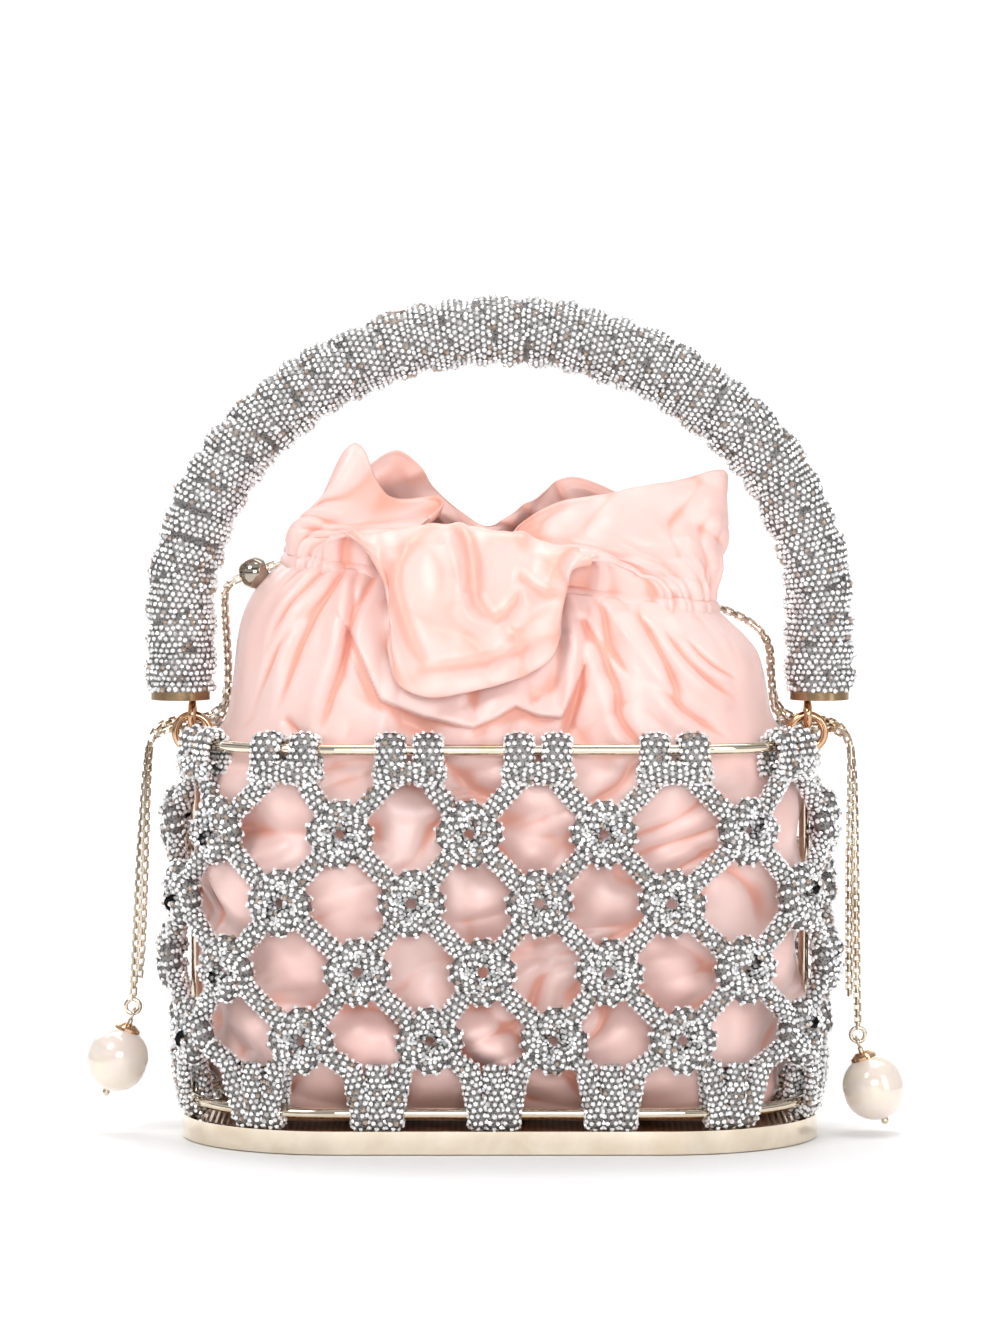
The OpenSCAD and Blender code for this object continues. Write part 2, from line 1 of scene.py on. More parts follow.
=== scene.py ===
"""Dresses the flower girl basket: net and ribbon of set stones, satin pouch, box chains, metal and pearls."""

import logging
import math
from dataclasses import dataclass, field
from enum import Enum
from typing import Protocol, Sequence, Union

import bpy
import numpy as np
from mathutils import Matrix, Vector


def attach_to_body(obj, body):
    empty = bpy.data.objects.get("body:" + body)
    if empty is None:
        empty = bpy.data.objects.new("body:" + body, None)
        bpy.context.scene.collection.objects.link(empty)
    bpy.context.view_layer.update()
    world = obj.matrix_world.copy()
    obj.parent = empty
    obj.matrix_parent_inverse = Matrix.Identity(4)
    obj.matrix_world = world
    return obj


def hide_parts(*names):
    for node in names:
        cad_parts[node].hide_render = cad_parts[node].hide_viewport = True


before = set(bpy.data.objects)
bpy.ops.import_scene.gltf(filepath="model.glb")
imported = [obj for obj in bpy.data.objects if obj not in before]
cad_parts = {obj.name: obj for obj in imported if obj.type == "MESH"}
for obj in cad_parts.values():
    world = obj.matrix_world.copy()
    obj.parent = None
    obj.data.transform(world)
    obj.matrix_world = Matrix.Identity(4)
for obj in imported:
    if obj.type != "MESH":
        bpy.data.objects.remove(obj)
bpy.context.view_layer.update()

LOG = logging.getLogger("basket")
MM = 0.001

Number = Union[int, float]
Places = Union[float, np.ndarray]
Colour = tuple[float, float, float]
Value = Union["Socket", Number, Sequence[float]]


class Rider(Enum):
    """The bodies that a piece can move with."""

    FRAME = "frame"
    HANDLE = "handle"
    LEFT_CHAIN = "left_chain"
    RIGHT_CHAIN = "right_chain"


class Slot(Enum):
    """The record's material slots."""

    GOLD = "gold"
    CRYSTAL_MESH = "crystal_mesh"
    SATIN = "satin"


# ------------------------------------------------------------ shader maths


class Socket:
    """One output of a node. Arithmetic on it adds math nodes to its graph."""

    def __init__(self, graph: "Graph", link: bpy.types.NodeSocket) -> None:
        """Keeps the graph and the output."""
        self.graph = graph
        self.link = link

    def _math(self, operation: str, *values: Value) -> "Socket":
        """Returns what a math node of that operation makes of the values."""
        return self.graph.node("ShaderNodeMath", {"operation": operation}, dict(enumerate(values)))

    def __add__(self, other: Value) -> "Socket":
        """Returns this value plus another."""
        return self._math("ADD", self, other)

    def __radd__(self, other: Value) -> "Socket":
        """Returns another value plus this one."""
        return self._math("ADD", other, self)

    def __sub__(self, other: Value) -> "Socket":
        """Returns this value less another."""
        return self._math("SUBTRACT", self, other)

    def __rsub__(self, other: Value) -> "Socket":
        """Returns another value less this one."""
        return self._math("SUBTRACT", other, self)

    def __mul__(self, other: Value) -> "Socket":
        """Returns this value times another."""
        return self._math("MULTIPLY", self, other)

    def __rmul__(self, other: Value) -> "Socket":
        """Returns another value times this one."""
        return self._math("MULTIPLY", other, self)

    def sine(self) -> "Socket":
        """Returns the sine of this value."""
        return self._math("SINE", self)

    def steps(self, low: Number, high: Number) -> "Socket":
        """Returns 0 below low and 1 above high, straight in between."""
        ends = {0: self, 1: low, 2: high, 3: 0.0, 4: 1.0}
        return self.graph.node("ShaderNodeMapRange", {"clamp": True}, ends)


class Graph:
    """The node tree of one material, or of the sky."""

    def __init__(self, owner: Union[str, bpy.types.World]) -> None:
        """Starts an empty tree.

        Args:
            owner: the name of a new material, or the sky that is to have the tree.
        """
        self.owner = bpy.data.materials.new(owner) if isinstance(owner, str) else owner
        self.owner.use_nodes = True
        self.tree = self.owner.node_tree
        self.tree.nodes.clear()

    def node(
        self, kind: str, settings: dict | None = None, inputs: dict | None = None, output: int = 0
    ) -> Socket:
        """Adds a node.

        Args:
            kind: the node's type name.
            settings: its own properties; "stops" holds a ramp's (place, colour) pairs.
            inputs: values or sockets, by input name or number.
            output: which output is returned.

        Returns:
            That output as a Socket.
        """
        node = self.tree.nodes.new(kind)
        for key, value in (settings or {}).items():
            if key == "stops":
                self._stops(node.color_ramp.elements, value)
            else:
                setattr(node, key, value)
        for key, value in (inputs or {}).items():
            if isinstance(value, Socket):
                self.tree.links.new(value.link, node.inputs[key])
            else:
                node.inputs[key].default_value = value
        return Socket(self, node.outputs[output])

    @staticmethod
    def _stops(elements: bpy.types.ColorRampElements, stops: Sequence[tuple[float, Colour]]) -> None:
        """Sets a ramp's stops, starting with the two that it has."""
        for k, (at, colour) in enumerate(stops):
            stop = elements[k] if k < 2 else elements.new(at)
            stop.position, stop.color = at, (*colour, 1.0)

    def close(self, kind: str, surface: Socket) -> None:
        """Ends the tree with an output node of that kind."""
        self.tree.links.new(surface.link, self.tree.nodes.new(kind).inputs[0])

    def place(self) -> Socket:
        """Returns the point's place in the row frame, in metres."""
        return self.node("ShaderNodeTexCoord", output=3)

    def axes(self) -> tuple[Socket, Socket, Socket]:
        """Returns x, y and z of the point."""
        place = self.place()
        return tuple(self.node("ShaderNodeSeparateXYZ", None, {0: place}, output=i) for i in range(3))

    def noise(self, scale: Number, detail: Number, roughness: Number = 0.5, warp: Number = 0.0) -> Socket:
        """Returns cloudy noise from 0 to 1; scale is in cycles a metre."""
        inputs = {"Scale": scale, "Detail": detail, "Roughness": roughness, "Distortion": warp}
        return self.node("ShaderNodeTexNoise", None, {"Vector": self.place(), **inputs})

    def cells(self, scale: Number) -> Socket:
        """Returns the distance from the middle of a cell; scale is in cells a metre."""
        return self.node("ShaderNodeTexVoronoi", None, {"Vector": self.place(), "Scale": scale})

    def mix(self, low: Value, high: Value, factor: Value) -> Socket:
        """Returns low where factor is 0 and high where it is 1, both colours."""
        ends = [v if isinstance(v, Socket) else (*v, 1.0) for v in (low, high)]
        inputs = {0: factor, 6: ends[0], 7: ends[1]}
        return self.node("ShaderNodeMix", {"data_type": "RGBA"}, inputs, output=2)

    def tagged(self, name: str) -> Socket:
        """Returns a number stored on the mesh under that name."""
        return self.node("ShaderNodeAttribute", {"attribute_name": name}, None, output=2)

    def bump(self, height: Value, depth_mm: Number, strength: Number = 1.0) -> Socket:
        """Returns a normal tilted by height, which runs over depth_mm."""
        inputs = {"Strength": strength, "Distance": depth_mm * MM, "Height": height}
        return self.node("ShaderNodeBump", None, inputs)

    def finish(self, **shader: Value) -> bpy.types.Material:
        """Ends the material with one surface shader.

        Args:
            **shader: its inputs, with underscores for spaces.

        Returns:
            The material.
        """
        inputs = {}
        for key, value in shader.items():
            plain = key.endswith("Color") and not isinstance(value, Socket)
            inputs[key.replace("_", " ")] = (*value, 1.0) if plain else value
        self.close("ShaderNodeOutputMaterial", self.node("ShaderNodeBsdfPrincipled", None, inputs))
        return self.owner


# ------------------------------------------------------------ finishes


class Finish(Protocol):
    """What every finish has: a name, and one material that it builds."""

    name: str

    def build(self) -> bpy.types.Material:
        """Returns the material."""


@dataclass(frozen=True)
class PolishedMetal:
    """Plated and polished metal with faint wear and smears.

    Attributes:
        name: the material's name.
        light: its colour where it is clean.
        worn: its colour where it is rubbed.
        gloss: its lowest roughness.
    """

    name: str
    light: Colour = (0.86, 0.77, 0.64)
    worn: Colour = (0.72, 0.60, 0.45)
    gloss: float = 0.03

    def build(self) -> bpy.types.Material:
        """Returns the material."""
        graph = Graph(self.name)
        cloud = graph.noise(90, 4, 0.6, 0.4)
        fine = graph.noise(900, 3, 0.6)
        colour = graph.mix(self.light, self.worn, cloud.steps(0.35, 0.75))
        roughness = fine.steps(0.3, 0.8) * 0.06 + self.gloss
        return graph.finish(
            Base_Color=colour, Metallic=1.0, Roughness=roughness, Normal=graph.bump(fine, 0.004, 0.2)
        )


@dataclass(frozen=True)
class RibbedFloor:
    """Amber polished floor with fine ribs across its length."""

    name: str = "ribbed_floor"
    rib_mm: float = 1.6

    def build(self) -> bpy.types.Material:
        """Returns the material."""
        graph = Graph(self.name)
        across, _, _ = graph.axes()
        wave = (across * (2 * math.pi / (self.rib_mm * MM))).sine() * 0.5 + 0.5
        cloud = graph.noise(60, 3, 0.6)
        colour = graph.mix((0.30, 0.14, 0.045), (0.66, 0.38, 0.15), wave * 0.6 + cloud * 0.4)
        return graph.finish(
            Base_Color=colour, Metallic=0.9, Roughness=cloud * 0.12 + 0.14, Normal=graph.bump(wave, 0.3, 0.7)
        )


@dataclass(frozen=True)
class SetStone:
    """Clear cut stones over foil: most flash white, some grey, a few warm."""

    name: str = "set_stone"

    def build(self) -> bpy.types.Material:
        """Returns the material."""
        graph = Graph(self.name)
        tone = graph.tagged("tone")
        colour = graph.mix((1.0, 1.0, 1.0), (0.66, 0.65, 0.66), tone.steps(0.70, 0.88))
        colour = graph.mix(colour, (0.46, 0.34, 0.26), tone.steps(0.92, 0.95))
        glint = graph.noise(1500, 2, 0.5)
        return graph.finish(
            Base_Color=colour, Metallic=0.22, Roughness=glint * 0.12 + 0.06, Coat_Weight=1.0,
            Coat_Roughness=0.03, Specular_IOR_Level=0.8,
        )


@dataclass(frozen=True)
class DarkMesh:
    """The dark metallic net that holds the stones."""

    name: str = "dark_mesh"

    def build(self) -> bpy.types.Material:
        """Returns the material."""
        graph = Graph(self.name)
        cell = graph.cells(1500)
        colour = graph.mix((0.07, 0.066, 0.064), (0.26, 0.25, 0.24), cell.steps(0.25, 0.6))
        return graph.finish(
            Base_Color=colour, Metallic=0.55, Roughness=cell * 0.2 + 0.35, Normal=graph.bump(cell, 0.15, 0.6)
        )


@dataclass(frozen=True)
class Satin:
    """Pink satin: pale and blush in random clouds, with a deeper orange-pink shade painted into the folds,
    and a very fine weave.
    """

    name: str = "satin"
    pale: Colour = (0.93, 0.655, 0.61)
    blush: Colour = (0.91, 0.57, 0.515)
    crease_shade: Colour = (0.86, 0.38, 0.28)

    def build(self) -> bpy.types.Material:
        """Returns the material."""
        graph = Graph(self.name)
        cloud = graph.noise(38, 3, 0.55, 0.3)
        colour = graph.mix(self.pale, self.blush, cloud.steps(0.35, 0.8))
        # painted shade: the fold tag, deepest in creases, mixes in the orange-pink shade colour
        colour = graph.mix(colour, self.crease_shade, graph.tagged("fold"))
        across, _, up = graph.axes()
        weave = (across * 26000.0).sine() * (up * 21000.0).sine() * 0.5 + 0.5
        slub = graph.noise(420, 3, 0.6, 0.6)
        height = weave * 0.3 + slub * 0.7
        return graph.finish(
            Base_Color=colour, Roughness=slub * 0.12 + 0.30, Normal=graph.bump(height, 0.08, 0.2),
            Sheen_Weight=0.15, Sheen_Roughness=0.4, Specular_IOR_Level=0.75, Subsurface_Weight=0.06,
            Subsurface_Scale=0.0015, Subsurface_Radius=(1.0, 0.42, 0.3),
        )


@dataclass(frozen=True)
class Nacre:
    """Pearl: cream with drifting pink and green, under a clear gloss."""

    name: str = "nacre"

    def build(self) -> bpy.types.Material:
        """Returns the material."""
        graph = Graph(self.name)
        drift = graph.noise(120, 2, 0.5, 1.2)
        fine = graph.noise(1400, 3, 0.6)
        colour = graph.mix((0.86, 0.78, 0.64), (0.86, 0.73, 0.66), drift.steps(0.3, 0.6))
        colour = graph.mix(colour, (0.76, 0.79, 0.68), drift.steps(0.6, 0.8))
        return graph.finish(
            Base_Color=colour, Metallic=0.12, Roughness=fine * 0.1 + 0.16, Coat_Weight=1.0,
            Coat_Roughness=0.05, Normal=graph.bump(fine, 0.02, 0.25), Sheen_Weight=0.2,
        )


@dataclass(frozen=True)
class PaleFloor:
    """The plain floor under the basket."""

    name: str = "pale_floor"

    def build(self) -> bpy.types.Material:
        """Returns the material."""
        graph = Graph(self.name)
        cloud = graph.noise(3, 2, 0.5)
        return graph.finish(
            Base_Color=graph.mix((0.93, 0.93, 0.93), (0.90, 0.90, 0.905), cloud), Roughness=0.6,
            Specular_IOR_Level=0.2,
        )


@dataclass
class Palette:
    """Every finish, built once.

    Attributes:
        made: the materials so far, by name.
    """

    made: dict[str, bpy.types.Material] = field(default_factory=dict)

    def of(self, finish: Finish) -> bpy.types.Material:
        """Returns the material of a finish, building it the first time."""
        if finish.name not in self.made:
            self.made[finish.name] = finish.build()
        return self.made[finish.name]


GOLD = PolishedMetal("champagne_gold")
CHAIN_GOLD = PolishedMetal("chain_gold", (0.84, 0.76, 0.64), (0.58, 0.46, 0.34), 0.12)
STOPPER_GOLD = PolishedMetal("stopper_gold", (0.50, 0.45, 0.38), (0.34, 0.27, 0.19), 0.04)
COPPER_GOLD = PolishedMetal("copper_gold", (0.80, 0.53, 0.34), (0.52, 0.29, 0.16), 0.12)
DARK_GOLD = PolishedMetal("dark_gold", (0.46, 0.33, 0.19), (0.24, 0.15, 0.08), 0.18)
STONE = SetStone()
MESH = DarkMesh()
SATIN = Satin()
NACRE = Nacre()


# ------------------------------------------------------------ mesh making


class Sheets:
    """Gathers faces of several kinds and makes one object of them."""

    def __init__(self) -> None:
        """Starts with nothing."""
        self.points: list[np.ndarray] = []
        self.corners: list[np.ndarray] = []
        self.sizes: list[np.ndarray] = []
        self.slots: list[np.ndarray] = []
        self.smooth: list[np.ndarray] = []
        self.tags: list[np.ndarray] = []
        self.count = 0

    def add(self, points: np.ndarray, faces: np.ndarray, slot: int, smooth: bool, tag: Places = 0.0) -> None:
        """Adds faces that all have the same number of corners.

        Args:
            points: their points, in mm.
            faces: corner numbers, counted from the first of these points.
            slot: the material slot.
            smooth: whether they shade smooth.
            tag: a number for each point, kept on the mesh.
        """
        self.again(self.count, faces, slot, smooth)
        self.points.append(np.asarray(points, float) * MM)
        self.tags.append(np.broadcast_to(np.asarray(tag, float), (len(points),)))
        self.count += len(points)

    def again(self, start: int, faces: np.ndarray, slot: int, smooth: bool) -> None:
        """Adds faces on points that were added from number start on."""
        self.corners.append((np.asarray(faces) + start).ravel())
        self.sizes.append(np.full(len(faces), faces.shape[1]))
        self.slots.append(np.full(len(faces), slot))
        self.smooth.append(np.full(len(faces), smooth))

    def make(self, name: str, materials: Sequence[bpy.types.Material], tag: str = "tone") -> bpy.types.Object:
        """Makes the object.

        Args:
            name: its name.
            materials: its material slots in order.
            tag: the name under which the points' numbers are kept.

        Returns:
            The object, linked to the scene.
        """
        points = np.concatenate(self.points).astype(np.float32)
        corners = np.concatenate(self.corners).astype(np.int32)
        sizes = np.concatenate(self.sizes).astype(np.int32)
        mesh = bpy.data.meshes.new(name)
        mesh.vertices.add(len(points))
        mesh.vertices.foreach_set("co", points.ravel())
        mesh.loops.add(len(corners))
        mesh.loops.foreach_set("vertex_index", corners)
        mesh.polygons.add(len(sizes))
        mesh.polygons.foreach_set("loop_start", np.concatenate([[0], np.cumsum(sizes)[:-1]]).astype(np.int32))
        mesh.polygons.foreach_set("material_index", np.concatenate(self.slots).astype(np.int32))
        mesh.polygons.foreach_set("use_smooth", np.concatenate(self.smooth).astype(bool))
        for material in materials:
            mesh.materials.append(material)
        mesh.update(calc_edges=True)
        mesh.validate()
        kept = mesh.attributes.new(tag, "FLOAT", "POINT")
        kept.data.foreach_set("value", np.concatenate(self.tags).astype(np.float32))
        piece = bpy.data.objects.new(name, mesh)
        bpy.context.scene.collection.objects.link(piece)
        return piece


def unit(vectors: np.ndarray) -> np.ndarray:
    """Returns the vectors at length 1."""
    return vectors / np.maximum(np.linalg.norm(vectors, axis=-1, keepdims=True), 1e-12)


def curve(points: np.ndarray, count: int, closed: bool = False) -> np.ndarray:
    """Returns count points along a smooth curve through the given ones, evenly spaced.

    Args:
        points: what it passes through, any number of columns.
        count: how many points come back.
        closed: whether it joins up.

    Returns:
        The points; a closed curve doesn't repeat its first.
    """
    points = np.asarray(points, float)
    if closed:
        ends = np.concatenate([points[-1:], points, points[:2]])
    else:
        ends = np.concatenate([2 * points[:1] - points[1:2], points, 2 * points[-1:] - points[-2:-1]])
    spans = len(ends) - 3
    t = np.linspace(0, spans, spans * 24 + 1)
    i = np.minimum(t.astype(int), spans - 1)
    f = (t - i)[:, None]
    a, b, c, d = (ends[i + k] for k in range(4))
    fine = 0.5 * (2 * b + (c - a) * f + (2 * a - 5 * b + 4 * c - d) * f**2 + (3 * b - a - 3 * c + d) * f**3)
    along = np.concatenate([[0], np.cumsum(np.linalg.norm(np.diff(fine, axis=0), axis=1))])
    want = np.linspace(0, along[-1], count + 1)[:-1] if closed else np.linspace(0, along[-1], count)
    return np.stack([np.interp(want, along, fine[:, k]) for k in range(fine.shape[1])], axis=1)


def length_of(points: np.ndarray) -> float:
    """Returns the length of the line through the points."""
    return float(np.linalg.norm(np.diff(points, axis=0), axis=1).sum())


def grid_faces(rows: int, columns: int, round_columns: bool = True) -> np.ndarray:
    """Returns the quads of a grid of rows by columns points, joined across when round_columns."""
    i = np.arange(rows - 1)[:, None]
    j = np.arange(columns if round_columns else columns - 1)[None, :]
    k = (j + 1) % columns
    low, high = i * columns, (i + 1) * columns
    return np.stack([low + j, low + k, high + k, high + j], -1).reshape(-1, 4)


@dataclass
class StoneSetter:
    """Sets cut stones on a surface.

    Attributes:
        radius: a stone's radius in mm.
        height: how far it stands up in mm.
        sunk: how far its widest part sits below its seat, in mm.
        table: the flat top's share of its width.
        seed: where its random turns start.
        stray: how far stones sit from their rows, in mm.
        tilt: how far stones lean, as a share of their height.
    """

    radius: float = 0.70
    height: float = 0.48
    sunk: float = 0.10
    table: float = 0.52
    seed: int = 7
    stray: float = 0.20
    tilt: float = 0.17

    def __post_init__(self) -> None:
        """Starts the random turns."""
        self.chance = np.random.default_rng(self.seed)

    def set(self, into: Sheets, points: np.ndarray, normals: np.ndarray) -> None:
        """Adds one six-sided stone with a flat top at each point.

        Args:
            into: where the faces go.
            points: the seats, in mm.
            normals: which way each stone faces.
        """
        count = len(points)
        lean = unit(normals + self.chance.normal(0, self.tilt, (count, 3)))
        side = unit(np.cross(lean, self.chance.normal(0, 1, (count, 3))))
        other = np.cross(lean, side)
        size = self.radius * self.chance.uniform(0.90, 1.10, count)
        points = points + side * self.chance.normal(0, self.stray, (count, 1))
        turns = np.arange(6) * math.pi / 3
        low = side[:, None] * np.cos(turns)[:, None] + other[:, None] * np.sin(turns)[:, None]
        girdle = points[:, None] + low * size[:, None, None] - lean[:, None] * self.sunk
        table = points[:, None] + low * (self.table * size)[:, None, None] + lean[:, None] * self.height
        stones = np.concatenate([girdle, table], axis=1).reshape(-1, 3)
        first = (np.arange(count) * 12)[:, None]
        j = np.arange(6)
        k = (j + 1) % 6
        sides = np.stack([j, k, k + 6, j + 6], -1)[None] + first[:, :, None]
        tone = np.repeat(self.chance.uniform(0, 1, count), 12)
        start = into.count
        into.add(stones, sides.reshape(-1, 4), 1, False, tone)
        into.again(start, np.arange(6, 12)[None] + first, 1, False)


@dataclass
class StoneCord:
    """A tube of dark mesh with rows of stones round it.

    Attributes:
        pitch: the distance between stones in mm.
        setter: what sets them.
        sides: how many sides the tube has.
        row_share: the distance between rows of stones, as a share of the pitch.
        skin_depth: how far the tube lies under the cord's outside, in mm.
        seat_depth: how far the stones' seats lie under it, in mm.
    """

    pitch: float = 1.72
    setter: StoneSetter = field(default_factory=StoneSetter)
    sides: int = 14
    row_share: float = 0.88
    skin_depth: float = 0.25
    seat_depth: float = 0.2

    def lay(self, into: Sheets, route: np.ndarray, side: np.ndarray, wide: float, thick: float) -> None:
        """Lays a cord along a route.

        Args:
            into: where the faces go.
            route: the points it passes through, in mm.
            side: the direction, or one for each point, across which it is widest.
            wide: half its width along side.
            thick: half its width the other way.
        """
        rough = curve(route, 40)
        rows = max(4, round(length_of(rough) / (self.pitch * self.row_share)))
        line = curve(route, rows)
        across = np.broadcast_to(side, line.shape) if np.ndim(side) == 1 else curve(side, rows)
        along = unit(np.gradient(line, axis=0))
        u = unit(across - along * (across * along).sum(1, keepdims=True))
        v = np.cross(along, u)
        turn = np.arange(self.sides) * 2 * math.pi / self.sides
        skin = self._ring(line, u, v, turn[None], wide - self.skin_depth, thick - self.skin_depth)[0]
        faces = grid_faces(rows, self.sides)
        into.add(skin.reshape(-1, 3), faces, 0, True)
        around = max(6, round(math.pi * (wide + thick) / self.pitch))
        turns = (np.arange(around)[None] + 0.5 * (np.arange(rows) % 2)[:, None]) * 2 * math.pi / around
        seats, normals = self._ring(line, u, v, turns, wide - self.seat_depth, thick - self.seat_depth)
        self.setter.set(into, seats.reshape(-1, 3), normals.reshape(-1, 3))

    @staticmethod
    def _ring(
        line: np.ndarray, u: np.ndarray, v: np.ndarray, turns: np.ndarray, wide: float, thick: float
    ) -> tuple[np.ndarray, np.ndarray]:
        """Returns the points round each place of the line, and the ways out there.

        Args:
            line: the places.
            u: the widest way across at each.
            v: the other way across.
            turns: the angles round it.
            wide: half the width along u, in mm.
            thick: half the width along v, in mm.
        """
        c, s = np.cos(turns)[..., None], np.sin(turns)[..., None]
        points = line[:, None] + u[:, None] * c * wide + v[:, None] * s * thick
        outward = unit(u[:, None] * c * thick + v[:, None] * s * wide)
        return points, outward


# ------------------------------------------------------------ the cage's own measures


@dataclass
class Cage:
    """The stadium that the net follows, in mm.

    Attributes:
        straight: half the length of its straight sides.
        ring_r: the radius of its ends.
        columns: how many knots a row has.
        top_ring_z: the height of the upper ring.
        low_ring_z: the height of the lower ring.
        knots_pitch: the distance between rows of knots.
        knots_top_z: the height of the first row of knots.
        edge_knot_r: how far out the first and last rows of knots sit.
        middle_knot_r: how far out the rows between them sit.
        front: each row's drift towards the front left, from the hitches down to the wraps.
        pinch: each row's drift towards the middle.
        round: each row's drift all round.
    """

    straight: float = 43.0
    ring_r: float = 39.0
    columns: int = 12
    top_ring_z: float = 105.4
    low_ring_z: float = 10.4
    knots_pitch: float = 17.97
    knots_top_z: float = 83.9
    edge_knot_r: float = 43.6
    middle_knot_r: float = 44.6
    front: tuple = (6, 5, 3, 1, 1, 0)
    pinch: tuple = (2.5, 1, 3, 4, 4.5, 8.5)
    round: tuple = (1, 3, 3.5, 3.5, 1.2, 1.5)

    @property
    def perimeter(self) -> float:
        """The length round the ring."""
        return 4 * self.straight + 2 * math.pi * self.ring_r

    @property
    def pitch(self) -> float:
        """The distance between columns."""
        return self.perimeter / self.columns

    def seat(self, s: Places) -> tuple[np.ndarray, np.ndarray]:
        """Returns the centre (x) and the angle out at distance s round, from the middle of the front."""
        q = np.mod(np.asarray(s, float), self.perimeter)
        arc = math.pi * self.ring_r
        a, full = self.straight, self.perimeter
        bounds = [q < a, q < a + arc, q < 3 * a + arc, q < 3 * a + 2 * arc]
        centre = np.select(bounds, [q, a + 0 * q, 2 * a + arc - q, -a + 0 * q], q - full)
        angle = np.select(
            bounds,
            [0 * q - 90, -90 + 180 * (q - a) / arc, 0 * q + 90, 90 + 180 * (q - 3 * a - arc) / arc],
            -90 + 0 * q,
        )
        return centre, np.radians(angle)

    def place(self, s: Places, r: Places, z: Places) -> np.ndarray:
        """Returns the point at s round the ring, r out from the centre line and z up."""
        centre, angle = self.seat(s)
        return np.stack(np.broadcast_arrays(centre + r * np.cos(angle), r * np.sin(angle), z), -1)

    def outward(self, s: Places) -> np.ndarray:
        """Returns the way out at s."""
        _, angle = self.seat(s)
        return np.stack([np.cos(angle), np.sin(angle), 0 * angle], -1)

    def tangent(self, s: Places) -> np.ndarray:
        """Returns the way along the ring at s."""
        _, angle = self.seat(s)
        return np.stack([-np.sin(angle), np.cos(angle), 0 * angle], -1)

    def knot_s(self, row: int, k: int) -> float:
        """Returns where a knot, hitch (row 0) or wrap (row 5) sits round the ring."""
        s = self.pitch * (k + (0.5 if row % 2 == 0 else 0))
        a = 2 * math.pi * s / self.perimeter
        return s - self.front[row] * math.cos(a) - self.pinch[row] * math.sin(a) - self.round[row]

    def knot_z(self, row: int) -> float:
        """Returns the height of a row of knots."""
        return self.knots_top_z - self.knots_pitch * (row - 1)

    def knot_r(self, row: int) -> float:
        """Returns how far out a row of knots sits."""
        return self.edge_knot_r if row in (1, 4) else self.middle_knot_r


def attach(piece: bpy.types.Object, rider: Rider, slot: Slot, *nodes: str) -> bpy.types.Object:
    """Makes a piece ride on a body in place of CAD nodes.

    Args:
        piece: the object.
        rider: the body it moves with.
        slot: the record's slot; not used.
        *nodes: the CAD nodes it stands for.

    Returns:
        The piece.
    """
    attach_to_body(piece, rider.value)
    if nodes:
        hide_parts(*nodes)
    LOG.info("%s rides on %s for %s", piece.name, rider.value, ", ".join(nodes))
    return piece


# ------------------------------------------------------------ camera and light


